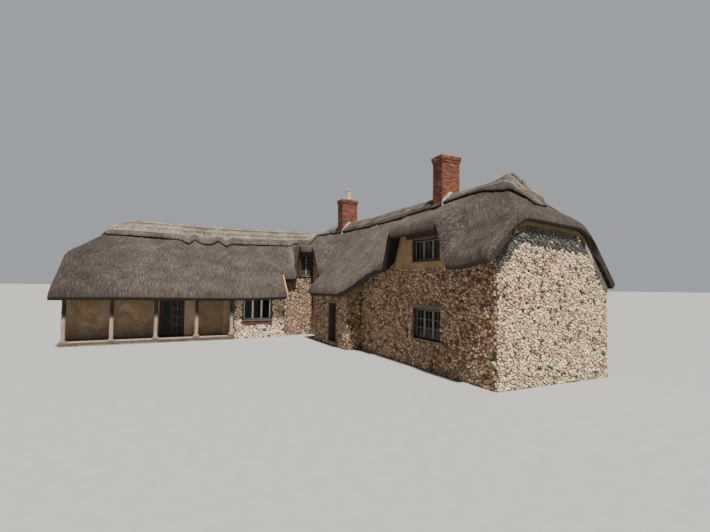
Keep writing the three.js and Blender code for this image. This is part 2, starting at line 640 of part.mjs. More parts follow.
// Floors, laid between the walls and out through the doorways
const inside = {
  x0: returnInner + GAP,
  x1: MAIN_REAR - STONE_WALL - GAP,
  y0: MAIN_NEAR + STONE_WALL + GAP,
  y1: MAIN_FAR - STONE_WALL - GAP,
};
const wingInside = {
  x0: WING_END + STONE_WALL + GAP,
  y0: verandaInner + GAP,
  y1: WING_REAR - STONE_WALL - GAP,
};
const roomInside = {
  x0: ROOM_LEFT + RENDER_WALL + GAP,
  x1: ROOM_RIGHT - STONE_WALL - GAP,
};
const floors = {
  main_floor: join([
    block(inside.x0, inside.x1, inside.y0, inside.y1, 0, FLOOR),
    block(outshutInner + GAP, inside.x0 + LAP, OUT_NEAR + OUT_WALL + GAP, OUT_FAR - OUT_WALL - GAP, 0, FLOOR),
    block(OUT_FRONT, outshutInner + LAP, doorNear + GAP, doorFar - GAP, 0, FLOOR),
  ]),
  wing_floor: join([
    block(wingInside.x0, roomInside.x1, wingInside.y0, wingInside.y1, 0, FLOOR),
    block(wingInside.x0, returnInner, WING_FRONT + STONE_WALL + GAP, wingInside.y1, 0, FLOOR),
    block(roomInside.x0, roomInside.x1, roomInner + GAP, wingInside.y1, 0, FLOOR),
    block(verandaLeft + GAP, verandaRight - GAP, WING_FRONT, wingInside.y0 + LAP, 0, FLOOR),
  ]),
  veranda_floor: block(
    WING_END, ROOM_LEFT - GAP, POST_LINE - PAD_SIZE / 2, WING_FRONT - GAP, 0, FLOOR),
};
const upperFloor = cut(
  block(inside.x0, inside.x1, inside.y0, inside.y1, UPPER_FLOOR - UPPER_FLOOR_DEPTH, UPPER_FLOOR),
  chimneyHoles);

// Veranda posts on stone pads, and the plate that they carry
const posts = PAD_HEIGHTS.map((height, index) => ({
  x: index < PAD_HEIGHTS.length - 1 ? POST_FIRST + index * POST_BAY : POST_LAST,
  foot: FLOOR + GAP + height,
}));
const chamfered = (size, z0, z1, chamfer) => {
  const half = size / 2;
  const shape = new THREE.Shape([
    new THREE.Vector2(half - chamfer, -half), new THREE.Vector2(half, chamfer - half),
    new THREE.Vector2(half, half - chamfer), new THREE.Vector2(half - chamfer, half),
    new THREE.Vector2(chamfer - half, half), new THREE.Vector2(-half, half - chamfer),
    new THREE.Vector2(-half, chamfer - half), new THREE.Vector2(chamfer - half, -half),
  ]);
  return new THREE.ExtrudeGeometry(shape, { depth: z1 - z0, bevelEnabled: false }).translate(0, 0, z0);
};
const verandaPlate = cut(
  block(POST_FIRST - POST_SIZE / 2, ROOM_LEFT - GAP,
    POST_LINE - PLATE_DEPTH / 2, POST_LINE + PLATE_DEPTH / 2, PLATE_UNDERSIDE, UPPER_FLOOR),
  underRoof);

// A window: a frame with mullions round one thin pane, standing in its wall at `depth`
function windowSolid({ lights }, width, height) {
  const half = WINDOW_DEPTH / 2;
  const inner = (width - 2 * WINDOW_FRAME - (lights - 1) * WINDOW_FRAME) / lights;
  const frame = block(0, width, -half, half, 0, height);
  const holes = [];
  for (let i = 0; i < lights; i += 1) {
    const x = WINDOW_FRAME + i * (inner + WINDOW_FRAME);
    holes.push(block(x, x + inner, -half - LAP, -PANE / 2, WINDOW_FRAME, height - WINDOW_FRAME));
    holes.push(block(x, x + inner, PANE / 2, half + LAP, WINDOW_FRAME, height - WINDOW_FRAME));
  }
  return cut(frame, holes);
}

const model = new THREE.Group();

function addMesh(name, geometry, material, position = [0, 0, 0], turn = 0) {
  const mesh = new THREE.Mesh(geometry, material);
  mesh.name = name;
  mesh.position.set(...position);
  mesh.rotation.z = turn;
  model.add(mesh);
}

// How far a window is turned to face each way
const FACING = { '-y': 0, '+y': Math.PI, '-x': -Math.PI / 2, '+x': Math.PI / 2 };

// `face` is the wall's outer face, in the direction that the window looks
function addWindow(name, spec, [from, to], [sill, head], face, facing) {
  const width = to - from - 2 * GAP;
  const geometry = toGeometry(windowSolid(spec, width, head - sill - 2 * GAP));
  const outward = facing.startsWith('+') ? 1 : -1;
  const middle = face - outward * (REVEAL + WINDOW_DEPTH / 2);
  const start = facing === '-y' || facing === '+x' ? from + GAP : to - GAP;
  const place = facing.endsWith('y') ? [start, middle] : [middle, start];
  addMesh(name, geometry, WINDOW_FINISHES[spec.slot], [...place, sill + GAP], FACING[facing]);
}

// Hinges: three barrels up each leaf. The leaf's knuckle sits on the frame's, one hair above it.
// Everything of a door is drawn with its pin at x = 0, y = 0, the frame on -x and the leaf on +x.
function knuckles(leafBase, leafHeight) {
  const pin = (z0, z1) => toSolid(
    new THREE.CylinderGeometry(HINGE.radius, HINGE.radius, z1 - z0, 12)
      .rotateX(Math.PI / 2).translate(0, 0, (z0 + z1) / 2));
  const flap = [-HINGE.out - HINGE.bite, HINGE.bite * 2 - HINGE.out];
  const onFrame = [];
  const onLeaf = [];
  for (const share of HINGE.places) {
    const z = leafBase + share * leafHeight;
    onFrame.push(pin(z, z + HINGE.length), block(-HINGE.flap, 0, ...flap, z, z + HINGE.length));
    const z1 = z + HINGE.length + GAP;
    onLeaf.push(pin(z1, z1 + HINGE.length), block(0, HINGE.flap, ...flap, z1, z1 + HINGE.length));
  }
  return { onFrame, onLeaf };
}

// A door frame of two jambs and a head, and its leaves. Each is drawn flat, its face at y = 0.
function doorSet({ width, head, leaves, glazed }) {
  const frameBase = FLOOR + GAP;
  const inner = width - 2 * DOOR_FRAME;
  const leafBase = FLOOR + DOOR_SILL;
  const leafHeight = head - GAP - DOOR_FRAME - LEAF_CLEAR - leafBase;
  const leafWidth = (inner - 2 * LEAF_CLEAR - (leaves - 1) * LEAF_MEET) / leaves;
  const pinIn = LEAF_CLEAR / 2;
  const { onFrame, onLeaf } = knuckles(leafBase, leafHeight);
  const onLeft = onFrame.map((solid) => solid.translate([DOOR_FRAME + pinIn, HINGE.out, 0]));
  const frame = [
    block(0, width, -DOOR_FRAME_DEPTH, 0, frameBase, head - GAP).subtract(
      block(DOOR_FRAME, width - DOOR_FRAME, -DOOR_FRAME_DEPTH - LAP, LAP, 0, head - GAP - DOOR_FRAME)),
    ...onLeft,
  ];
  if (leaves === 2) frame.push(...onLeft.map((solid) => solid.mirror([1, 0, 0]).translate([width, 0, 0])));
  const edge = [pinIn, pinIn + leafWidth];
  const board = block(...edge, -HINGE.out - LEAF, -HINGE.out, leafBase, leafBase + leafHeight);
  const face = -HINGE.out - LEAF / 2;
  const pane = [
    edge[0] + STILE, edge[1] - STILE, leafBase + BOTTOM_RAIL, leafBase + leafHeight - STILE,
  ];
  const recess = (y0, y1) => block(pane[0], pane[1], y0, y1, pane[2], pane[3]);
  const recesses = glazed
    ? [recess(face - LEAF, face - LEAF_PANE / 2), recess(face + LEAF_PANE / 2, face + LEAF)]
    : [];
  return { frame: join(frame), leaf: join([cut(board, recesses), ...onLeaf]), pinIn: DOOR_FRAME + pinIn };
}

for (const [name, slope] of Object.entries(slopes)) {
  addMesh(name, toGeometry(cut(slope.solid, chimneyHoles)), THATCH_FINISH);
}
addMesh('main_ridge_cap', toGeometry(mainCap), CAP_FINISH);
addMesh('wing_ridge_cap', toGeometry(wingCap), CAP_FINISH);
for (const [name, solid] of Object.entries(walls)) {
  const rendered = name.startsWith('veranda');
  addMesh(name, toGeometry(solid), rendered ? RENDER_FINISH : STONE_FINISH);
}
for (const [name, solid] of Object.entries(floors)) {
  addMesh(name, toGeometry(solid), FLOOR_FINISH);
}
addMesh('main_upper_floor', toGeometry(upperFloor), BOARD_FINISH);

posts.forEach(({ x, foot }, index) => {
  const pad = chamfered(PAD_SIZE, FLOOR + GAP, foot, PAD_CHAMFER);
  addMesh(`post_pad_${index + 1}`, pad, FLOOR_FINISH, [x, POST_LINE, 0]);
  const post = chamfered(POST_SIZE, foot + GAP, PLATE_UNDERSIDE - GAP, POST_CHAMFER);
  addMesh(`veranda_post_${index + 1}`, post, TIMBER_FINISH, [x, POST_LINE, 0]);
});
addMesh('veranda_plate', toGeometry(verandaPlate), TIMBER_FINISH);

addMesh('near_chimney', toGeometry(chimneyStack(CHIMNEY_NEAR)), BRICK_FINISH);
addMesh('far_chimney', toGeometry(chimneyStack(CHIMNEY_FAR)), BRICK_FINISH);
const potProfile = [
  [POT.bore, 0], [POT.radius + 10, 0], [POT.radius, POT.height * 0.8], [POT.lip, POT.height * 0.85],
  [POT.lip, POT.height], [POT.bore, POT.height], [POT.bore, 0],
].map((point) => new THREE.Vector2(...point));
const potGeometry = new THREE.LatheGeometry(potProfile, 16).rotateX(Math.PI / 2);
addMesh('chimney_pot', potGeometry, POT_FINISH, [0, POT.y, CHIMNEY_FAR.top + GAP]);

addWindow('eyebrow_window', EYEBROW_WINDOW, EYEBROW_WINDOW.span, EYEBROW_WINDOW.height, MAIN_FRONT, '-x');
addWindow('front_window', FRONT_WINDOW, FRONT_WINDOW.span, FRONT_WINDOW.height, MAIN_FRONT, '-x');
addWindow('garden_room_window', ROOM_WINDOW, ROOM_WINDOW.span, ROOM_WINDOW.height, ROOM_FRONT, '-y');
addWindow('corner_window', CORNER_WINDOW, CORNER_WINDOW.span, CORNER_WINDOW.height, WING_FRONT, '-y');
REAR_WINDOWS.forEach((middle, index) => addWindow(
  `rear_window_${index + 1}`, REAR_WINDOW, rearSpan(middle), REAR_WINDOW.height, MAIN_REAR, '+x'));
WING_WINDOWS.forEach((middle, index) => addWindow(
  `wing_rear_window_${index + 1}`, REAR_WINDOW, rearSpan(middle), REAR_WINDOW.height, WING_REAR, '+y'));

// The pair of glazed doors on the veranda, opening inwards
const verandaSet = doorSet({
  width: verandaRight - verandaLeft - 2 * GAP, head: VERANDA_DOOR.head, leaves: 2, glazed: true,
});
const verandaFace = WING_FRONT + VERANDA_DOOR.depth;
addMesh('veranda_door_frame', toGeometry(verandaSet.frame), DARK_FRAME_FINISH,
  [verandaLeft + GAP, verandaFace, 0]);
addMesh('veranda_leaf_left', toGeometry(verandaSet.leaf), DARK_FRAME_FINISH,
  [verandaLeft + GAP + verandaSet.pinIn, verandaFace + HINGE.out, 0]);
addMesh('veranda_leaf_right', toGeometry(verandaSet.leaf.mirror([1, 0, 0])), DARK_FRAME_FINISH,
  [verandaRight - GAP - verandaSet.pinIn, verandaFace + HINGE.out, 0]);

// The front door in the outshut, opening inwards on its far jamb
const frontSet = doorSet({
  width: doorFar - doorNear - 2 * GAP, head: FRONT_DOOR.head, leaves: 1, glazed: false,
});
const frontFace = OUT_FRONT + FRONT_DOOR.depth;
addMesh('front_door_frame', toGeometry(frontSet.frame), DARK_FRAME_FINISH,
  [frontFace, doorFar - GAP, 0], -Math.PI / 2);
addMesh('front_door_leaf', toGeometry(frontSet.leaf), DARK_FRAME_FINISH,
  [frontFace + HINGE.out, doorFar - GAP - frontSet.pinIn, 0], -Math.PI / 2);

export default model;
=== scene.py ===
import itertools
import json
import math

import bpy
import numpy as np
from mathutils import Matrix, Vector


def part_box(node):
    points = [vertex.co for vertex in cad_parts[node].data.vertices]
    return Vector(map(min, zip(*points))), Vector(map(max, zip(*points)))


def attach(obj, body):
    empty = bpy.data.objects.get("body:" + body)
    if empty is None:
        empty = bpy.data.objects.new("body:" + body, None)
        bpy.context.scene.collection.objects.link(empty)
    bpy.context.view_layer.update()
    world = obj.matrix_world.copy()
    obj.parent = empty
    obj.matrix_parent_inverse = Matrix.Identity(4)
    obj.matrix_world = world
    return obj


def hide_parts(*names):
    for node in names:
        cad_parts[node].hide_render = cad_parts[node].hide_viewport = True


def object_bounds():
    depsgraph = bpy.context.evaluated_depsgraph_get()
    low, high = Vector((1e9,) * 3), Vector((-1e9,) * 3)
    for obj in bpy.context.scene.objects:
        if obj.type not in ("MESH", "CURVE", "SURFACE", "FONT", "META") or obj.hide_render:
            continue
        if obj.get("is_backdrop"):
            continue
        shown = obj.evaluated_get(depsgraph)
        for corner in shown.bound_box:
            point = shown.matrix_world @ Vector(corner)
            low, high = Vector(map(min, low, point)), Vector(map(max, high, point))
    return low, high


# Everything is in metres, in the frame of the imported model: the origin on the ground under the middle
# of the main range, +Y along it away from the near gable, and the wing along -X.
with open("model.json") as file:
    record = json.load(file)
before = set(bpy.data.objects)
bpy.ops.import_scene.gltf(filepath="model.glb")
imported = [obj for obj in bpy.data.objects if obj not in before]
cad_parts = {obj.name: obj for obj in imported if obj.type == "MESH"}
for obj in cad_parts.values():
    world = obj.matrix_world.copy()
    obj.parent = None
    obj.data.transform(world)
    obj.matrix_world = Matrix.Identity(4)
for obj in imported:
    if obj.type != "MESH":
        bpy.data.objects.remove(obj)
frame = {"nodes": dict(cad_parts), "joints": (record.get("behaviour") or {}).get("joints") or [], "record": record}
cad_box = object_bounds()

# Camera: where the photograph was taken from
EYE = Vector((-12.4, -20.33, 3.266))
YAW, PITCH, ROLL = 0.4625, 0.04204, 0.01287
LENS, SENSOR = 21.28, 36.0
KEY_DIRECTION, KEY_STRENGTH = (0.07, 0.39, -0.918), 9.4

# Roof: top surface of the thatch, on the same planes as the model's roof
THATCH = 0.5
EAVE_CUT = (0.15, 0.37)
REAR_CUT = (0.15, 0.33)
HIP_CUT = (0.06, 0.19)
WING_HIP_CUT = (0.11, 0.33)
ROLL_SET, ROLL_FALL, ROLL_LEAST, EAVE_FACE = 0.24, 0.5, 0.1, 0.06
HIP_DRESSING = dict(middle=-0.26, half=1.2, fade=0.7, deep=1.5, thinner=0.18, roll=0.4)
RIDGE, RIDGE_SAG = 7.35, (0.05, 2.5, 4.5)
TUFT_RISE, TUFT_Y, TUFT_SPREAD = 0.28, -8.85, 0.65
CREST_HALF = 0.15
FRONT_PITCH = (0.98, 1.12, -4.8, -1.3)
REAR_PITCH = 1.33
VERGE_LIFT = (0.2, 0.9)
NEAR_EDGE, FAR_EDGE = -10.9, 10.93
HIP_PITCH = 0.79
NEAR_HIP_EAVE, NEAR_HIP_TILT, FAR_HIP_EAVE = 5.47, -0.06, 5.7
REAR_EAVE = 2.87
FRONT_EAVE = (-3.29, -3.9, -4.0, -1.2)
LOW_EAVE_END = 2.87
WING_RIDGE_LINE, WING_RIDGE, WING_SAG = 7.45, 6.79, (0.09, -7.5, 4.0)
WING_PITCH, WING_EAVE, WING_REAR_EAVE = 1.165, 3.9, 10.98
WING_LEFT, WING_HIP_EDGE, WING_HIP_PITCH, WING_HIP_EAVE = -16.53, -16.23, 0.71, 4.69
CORNER_EAVE, CORNER_LEFT, VALLEY_SPLIT = 4.82, -4.79, -3.0
VALLEY_SOFT, CREASE_SOFT = 0.5, 0.16
EYEBROW = dict(top=5.64, start=-8.23, end=-5.33, cheek=0.85, rise=0.4, steep=1.83)
DORMER = dict(top=5.74, left=-3.68, cheek=0.3, near=4.7, ramp=1.5, back=6.9, steep=2.13)
MAIN_CAP_HALF, MAIN_CAP_WRAP = 0.62, 1.6
CAP_SWELL, CAP_PINCH, CAP_HOOD = (0.12, 0.85, 0.8), (0.25, -7.0, 1.2), (0.45, 0.6)
WING_CAP_HALF, WING_CAP_WRAP, WING_CAP_STOP = 0.88, 1.4, -1.15

rng = np.random.default_rng(7)


# Numbers and noise
def lerp(a, b, t):
    return a + (b - a) * t


def smoothstep(t):
    t = np.clip(t, 0, 1)
    return t * t * (3 - 2 * t)


def bell(value, at, spread):
    return np.exp(-(((value - at) / spread) ** 2))


def hump(value, size, at, spread):
    """A rise of the given size around one place."""
    return size * bell(value, at, spread)


def soft_max(a, b, soft):
    return (a + b + np.hypot(a - b, soft)) / 2


def soft_min(a, b, soft):
    return (a + b - np.hypot(a - b, soft)) / 2


def paired(x, y):
    """Two arrays of the same shape."""
    return np.broadcast_arrays(np.asarray(x, float), np.asarray(y, float))


def lattice(ix, iy, seed):
    h = (ix * 374761393 + iy * 668265263 + seed * 974634777) & 0x7FFFFFFF
    h = ((h ^ (h >> 13)) * 1274126177) & 0x7FFFFFFF
    return ((h ^ (h >> 16)) & 0xFFFF) / 65535.0


def noise(x, y, seed=0):
    """Smooth value noise from -1 to 1 on the plane."""
    x, y = paired(x, y)
    ix, iy = np.floor(x).astype(np.int64), np.floor(y).astype(np.int64)
    fx, fy = smoothstep(x - ix), smoothstep(y - iy)
    low = lerp(lattice(ix, iy, seed), lattice(ix + 1, iy, seed), fx)
    high = lerp(lattice(ix, iy + 1, seed), lattice(ix + 1, iy + 1, seed), fx)
    return lerp(low, high, fy) * 2 - 1


# Roof surface
def ridge_height(y):
    return RIDGE - hump(y, *RIDGE_SAG)


def main_surface(x, y):
    near, far, start, end = FRONT_PITCH
    pitch = lerp(near, far, smoothstep((y - start) / (end - start)))
    front = ridge_height(y) + pitch * x + VERGE_LIFT[0] * bell(y, NEAR_EDGE, VERGE_LIFT[1])
    rear = ridge_height(y) - REAR_PITCH * x
    near_hip = NEAR_HIP_EAVE + NEAR_HIP_TILT * x + HIP_PITCH * (y - NEAR_EDGE)
    far_hip = FAR_HIP_EAVE + HIP_PITCH * (FAR_EDGE - y)
    slopes = soft_min(front, rear, CREASE_SOFT)
    slopes = soft_min(soft_min(slopes, near_hip, CREASE_SOFT), far_hip, CREASE_SOFT)
    return slopes + TUFT_RISE * bell(x, 0, TUFT_SPREAD) * bell(y, TUFT_Y, TUFT_SPREAD)


def wing_surface(x, y):
    ridge = WING_RIDGE - hump(x, *WING_SAG)
    slopes = soft_min(ridge - WING_PITCH * (WING_RIDGE_LINE - y),
                      ridge - WING_PITCH * (y - WING_RIDGE_LINE), CREASE_SOFT)
    return soft_min(slopes, WING_HIP_EAVE + WING_HIP_PITCH * (x - WING_HIP_EDGE), CREASE_SOFT)


def cheek_fall(outside, width):
    share = outside / width
    return smoothstep(share) + np.maximum(share - 1, 0)


def eyebrow_surface(x, y):
    outside = np.maximum(np.maximum(EYEBROW["start"] - y, y - EYEBROW["end"]), 0)
    level = EYEBROW["top"] + EYEBROW["rise"] * (x - FRONT_EAVE[0])
    return level - cheek_fall(outside, EYEBROW["cheek"]) * EYEBROW["steep"]


def dormer_surface(x, y):
    left = np.maximum(DORMER["left"] - x, 0)
    near = np.maximum(DORMER["near"] - y, 0)
    back = np.maximum(y - DORMER["back"], 0)
    fall = cheek_fall(left, DORMER["cheek"]) + cheek_fall(near, DORMER["ramp"])
    return DORMER["top"] - fall * DORMER["steep"] - 2 * back


def roof(x, y):
    x, y = paired(x, y)
    main = main_surface(x, y)
    front = soft_max(main, wing_surface(x, y), VALLEY_SOFT)
    front = soft_max(front, dormer_surface(x, y), CREASE_SOFT)
    front = soft_max(front, eyebrow_surface(x, y), CREASE_SOFT)
    return np.where(x < 0, front, main)


def roof_slope(x, y, step):
    """Rise of the roof for each metre along x and along y."""
    dx = (roof(x + step, y) - roof(x - step, y)) / (2 * step)
    dy = (roof(x, y + step) - roof(x, y - step)) / (2 * step)
    return dx, dy


def roof_normal(x, y):
    dx, dy = roof_slope(x, y, 0.01)
    n = np.stack([-dx, -dy, np.ones_like(dx)], -1)
    return n / np.linalg.norm(n, axis=-1, keepdims=True)


def front_eave(y):
    high, low, start, end = FRONT_EAVE
    return lerp(high, low, smoothstep((y - start) / (end - start)))


HIP_FOOT = dict(
    front=-(RIDGE + VERGE_LIFT[0] - NEAR_HIP_EAVE) / (FRONT_PITCH[0] - NEAR_HIP_TILT),
    rear=(RIDGE - NEAR_HIP_EAVE) / (REAR_PITCH + NEAR_HIP_TILT),
    far_front=-(RIDGE - FAR_HIP_EAVE) / FRONT_PITCH[1],
    far_rear=(RIDGE - FAR_HIP_EAVE) / REAR_PITCH,
)
NEAR_CREST = NEAR_EDGE + (RIDGE - NEAR_HIP_EAVE) / HIP_PITCH
FAR_CREST = FAR_EDGE - (RIDGE - FAR_HIP_EAVE) / HIP_PITCH
WING_CREST = WING_HIP_EDGE + (WING_RIDGE - WING_HIP_EAVE) / WING_HIP_PITCH
WING_HIP_FOOT = (WING_RIDGE - WING_HIP_EAVE) / WING_PITCH


def crease_share(distance, foot):
    return np.clip(1 - (np.abs(distance) - CREST_HALF) / (abs(foot) - CREST_HALF), 0, 1)


def near_start(x, foot):
    return lerp(NEAR_EDGE, NEAR_CREST, crease_share(x, foot))


def far_start(x, foot):
    return lerp(FAR_EDGE, FAR_CREST, crease_share(x, foot))


def wing_start(distance):
    below = np.maximum(np.abs(distance) - WING_HIP_FOOT, 0) / (WING_RIDGE_LINE - WING_EAVE - WING_HIP_FOOT)
    edge = lerp(WING_HIP_EDGE, WING_LEFT, smoothstep(below))
    return lerp(edge, WING_CREST, crease_share(distance, WING_HIP_FOOT))


# Plan outline of the whole roof, for the rounded lip along every free edge
def roof_outline():
    front_y = np.linspace(NEAR_EDGE, LOW_EAVE_END, 24)
    verge = np.linspace(WING_EAVE, WING_REAR_EAVE, 24)
    points = [(front_eave(y), y) for y in front_y]
    points += [(VALLEY_SPLIT, LOW_EAVE_END), (VALLEY_SPLIT, CORNER_EAVE), (CORNER_LEFT, CORNER_EAVE)]
    points += [(CORNER_LEFT, WING_EAVE)]
    points += [(min(wing_start(y - WING_RIDGE_LINE), WING_HIP_EDGE), y) for y in verge]
    points += [(VALLEY_SPLIT, WING_REAR_EAVE), (VALLEY_SPLIT, FAR_EDGE), (REAR_EAVE, FAR_EDGE)]
    return np.array(points + [(REAR_EAVE, NEAR_EDGE), (FRONT_EAVE[0], NEAR_EDGE)], float)


OUTLINE = roof_outline()


def edge_distance(x, y):
    """Distance in plan from the nearest free edge of the roof."""
    x, y = paired(x, y)
    best = np.full(x.shape, 99.0)
    for a, b in itertools.pairwise(OUTLINE):
        d = b - a
        t = np.clip(((x - a[0]) * d[0] + (y - a[1]) * d[1]) / max(d @ d, 1e-12), 0, 1)
        best = np.minimum(best, np.hypot(a[0] + t * d[0] - x, a[1] + t * d[1] - y))
    return best


def hip_share(x, y):
    """1 on the near half hip, which is dressed finer than the rest of the roof, fading to 0 around it."""
    beyond = np.abs(x - HIP_DRESSING["middle"]) - HIP_DRESSING["half"]
    across = 1 - smoothstep(beyond / HIP_DRESSING["fade"])
    return across * (1 - smoothstep((y - NEAR_EDGE) / HIP_DRESSING["deep"]))


def thatch_depth(x, y):
    return THATCH - HIP_DRESSING["thinner"] * hip_share(x, y)


def edge_fall(x, y):
    """How far the rounded edge falls in all: less where the slope itself is steep."""
    rise = np.hypot(*roof_slope(x, y, 0.02))
    fall = np.maximum(ROLL_FALL - rise * ROLL_SET, ROLL_LEAST)
    return fall * lerp(1, HIP_DRESSING["roll"], hip_share(x, y))


def eave_roll(x, y):
    """How far the thatch's rounded edge has fallen below the roof surface here."""
    inward = np.clip(1 - edge_distance(x, y) / ROLL_SET, 0, 1)
    return edge_fall(x, y) * (1 - np.sqrt(1 - inward ** 2))


def lip(distance, radius):
    """How far a rounded edge falls away within `radius` of its end."""
    d = np.clip(radius - distance, 0, radius)
    return radius - np.sqrt(np.maximum(radius * radius - d * d, 0))


# Node graphs for materials
class Graph:
    """A material whose colour and relief come from shader nodes."""

    def __init__(self, name, roughness, specular):
        self.material = bpy.data.materials.new(name)
        self.material.use_nodes = True
        self.tree = self.material.node_tree
        self.shader = self.tree.nodes["Principled BSDF"]
        self.put(self.shader, "Roughness", roughness)
        self.put(self.shader, "Specular IOR Level", specular)

    def add(self, kind, out=0, settings=None, **inputs):
        """One output of a new node. Inputs go by name, or by number as i0, i1 and so on."""
        node = self.tree.nodes.new("ShaderNode" + kind)
        for key, value in (settings or {}).items():
            setattr(node, key, value)
        for key, value in inputs.items():
            self.put(node, key.replace("_", " "), value)
        return node.outputs[out]

    def put(self, node, key, value):
        numbered = key[0] == "i" and key[1:].isdigit()
        socket = node.inputs[int(key[1:]) if numbered else key]
        if isinstance(value, bpy.types.NodeSocket):
            self.tree.links.new(value, socket)
        else:
            socket.default_value = value

    def place(self, scale=(1, 1, 1), attribute=None):
        if attribute:
            vector = self.add("Attribute", 1, {"attribute_name": attribute})
        else:
            vector = self.add("TexCoord", 3)
        return self.add("Mapping", Vector=vector, Scale=scale)

    def noise(self, scale, detail=3.0, roughness=0.55, distortion=0.0, place=()):
        return self.add("TexNoise", Vector=self.place(*place), Scale=scale, Detail=detail,
                        Roughness=roughness, Distortion=distortion)

    def ramp(self, value, *stops):
        color = self.add("ValToRGB", Fac=value)
        elements = color.node.color_ramp.elements
        while len(elements) < len(stops):
            elements.new(0.5)
        for element, (at, shade) in zip(elements, stops):
            element.position = at
            element.color = (*shade, 1)
        return color

    def grey(self, value, low, high, a=0.0, b=1.0):
        return self.add("MapRange", i0=value, i1=low, i2=high, i3=a, i4=b)

    def mix(self, factor, a, b, blend="MIX"):
        a, b = [(*c, 1) if isinstance(c, tuple) else c for c in (a, b)]
        return self.add("Mix", 2, {"data_type": "RGBA", "blend_type": blend}, i0=factor, i6=a, i7=b)

    def math(self, operation, a, b):
        return self.add("Math", 0, {"operation": operation}, i0=a, i1=b)

    def blend(self, a, b, share):
        """a and b added up, b by its share."""
        return self.math("ADD", self.math("MULTIPLY", a, 1 - share), self.math("MULTIPLY", b, share))

    def tint(self):
        return self.add("Attribute", 2, {"attribute_name": "tint"})

    def shaded(self, color, value):
        """The colour made darker or lighter by a number."""
        return self.mix(1.0, color, self.add("CombineColor", i0=value, i1=value, i2=value), "MULTIPLY")

    def bump(self, height, distance, strength=1.0, normal=None):
        over = {} if normal is None else {"Normal": normal}
        return self.add("Bump", Height=height, Distance=distance, Strength=strength, **over)

    def done(self, color, normal=None):
        self.put(self.shader, "Base Color", color)
        if normal:
            self.put(self.shader, "Normal", normal)
        return self.material


def thatch_material(name, dark, mid, light, contrast=1.0):
    """Straw that runs down the slope. The attribute straw holds metres along and down the slope."""
    g = Graph(name, 0.95, 0.15)
    fine = g.noise(1.0, 2.0, 0.6, place=((90, 7, 20), "straw"))
    coarse = g.noise(1.0, 4.0, 0.65, place=((22, 2.2, 8), "straw"))
    blotch = g.noise(1.0, 4.0, 0.6, place=((0.9, 1.3, 1), "straw"))
    straw = g.blend(fine, coarse, 0.45)
    color = g.ramp(straw, (0.34, dark), (0.5, mid), (0.66, light))
    color = g.shaded(color, g.grey(blotch, 0.35, 0.68, 1 - 0.3 * contrast, 1 + 0.22 * contrast))
    return g.done(g.shaded(color, g.tint()), g.bump(straw, 0.012, 0.9))


# The last tints of a stone's ramp are painted shade: dark stones standing for the shadow of the thatch overhang.
FLINT_FROM, SHADE_BAND_FROM = 0.86, 0.95
SHADE_BAND_STONE = ((0.06, 0.06, 0.053), (0.155, 0.15, 0.13))


def stone_material(name, shades, flint):
    """Each stone has its own tint: first the pale shades, then dark flint, then stone painted dark as the shadow
    under the thatch.
    """
    g = Graph(name, 0.88, 0.25)
    stops = [(i * FLINT_FROM / (len(shades) - 1), c) for i, c in enumerate(shades)]
    stops += [(0.9, flint), (0.93, flint), (SHADE_BAND_FROM, SHADE_BAND_STONE[0]), (1.0, SHADE_BAND_STONE[1])]
    grain = g.noise(26.0, 5.0, 0.65)
    color = g.shaded(g.ramp(g.tint(), *stops), g.grey(grain, 0.3, 0.7, 0.72, 1.22))
    return g.done(color, g.bump(grain, 0.006, 0.8))


def mortar_material(name, low, high, scale=14.0, depth=0.006):
    g = Graph(name, 0.95, 0.2)
    broad = g.noise(1.6, 4.0, 0.6)
    grain = g.noise(scale, 5.0, 0.7)
    color = g.ramp(g.blend(broad, grain, 0.5), (0.36, low), (0.64, high))
    return g.done(color, g.bump(grain, depth, 0.8))


def limewash_material():
    """Cream limewash with ochre showing through, and stains of wet near the ground."""
    g = Graph("limewash", 0.93, 0.2)
    cloud = g.noise(1.15, 5.0, 0.62, 0.6, place=((1.0, 1.0, 1.3),))
    patch = g.noise(2.6, 6.0, 0.68, 0.9, place=((1.3, 1.0, 1.0),))
    grain = g.noise(22.0, 4.0, 0.6)
    pale = g.grey(g.noise(5.5, 5.0, 0.7, 0.5), 0.60, 0.68)
    specks = g.grey(g.noise(9.0, 5.0, 0.75), 0.66, 0.72)
    height = g.add("SeparateXYZ", 2, Vector=g.add("TexCoord", 3))
    low = g.grey(g.math("ADD", height, g.math("MULTIPLY", patch, 0.9)), 1.65, 0.75)
    color = g.ramp(cloud, (0.36, (0.22, 0.155, 0.085)), (0.5, (0.27, 0.205, 0.13)),
                   (0.62, (0.34, 0.28, 0.20)))
    for share, part, shade in (
            (g.grey(patch, 0.47, 0.66), 0.6, (0.25, 0.125, 0.055)), (pale, 0.5, (0.44, 0.37, 0.27)),
            (low, 0.75, (0.125, 0.10, 0.07)), (specks, low, (0.10, 0.08, 0.05))):
        color = g.mix(g.math("MULTIPLY", share, part), color, shade)
    return g.done(color, g.bump(grain, 0.004, 0.6, g.bump(patch, 0.02, 0.5)))


def brick_material():
    g = Graph("brick", 0.85, 0.25)
    color = g.ramp(g.tint(), (0.0, (0.09, 0.026, 0.018)), (0.35, (0.16, 0.044, 0.026)),
                   (0.7, (0.22, 0.066, 0.036)), (0.9, (0.27, 0.12, 0.075)), (1.0, (0.075, 0.036, 0.028)))
    grain = g.noise(60.0, 4.0, 0.65)
    soot = g.noise(2.2, 5.0, 0.65)
    color = g.mix(g.grey(grain, 0.52, 0.75, 0.0, 0.25), color, (0.40, 0.25, 0.17))
    color = g.mix(g.grey(soot, 0.5, 0.72, 0.0, 0.55), color, (0.06, 0.042, 0.034))
    return g.done(color, g.bump(grain, 0.003, 0.7))


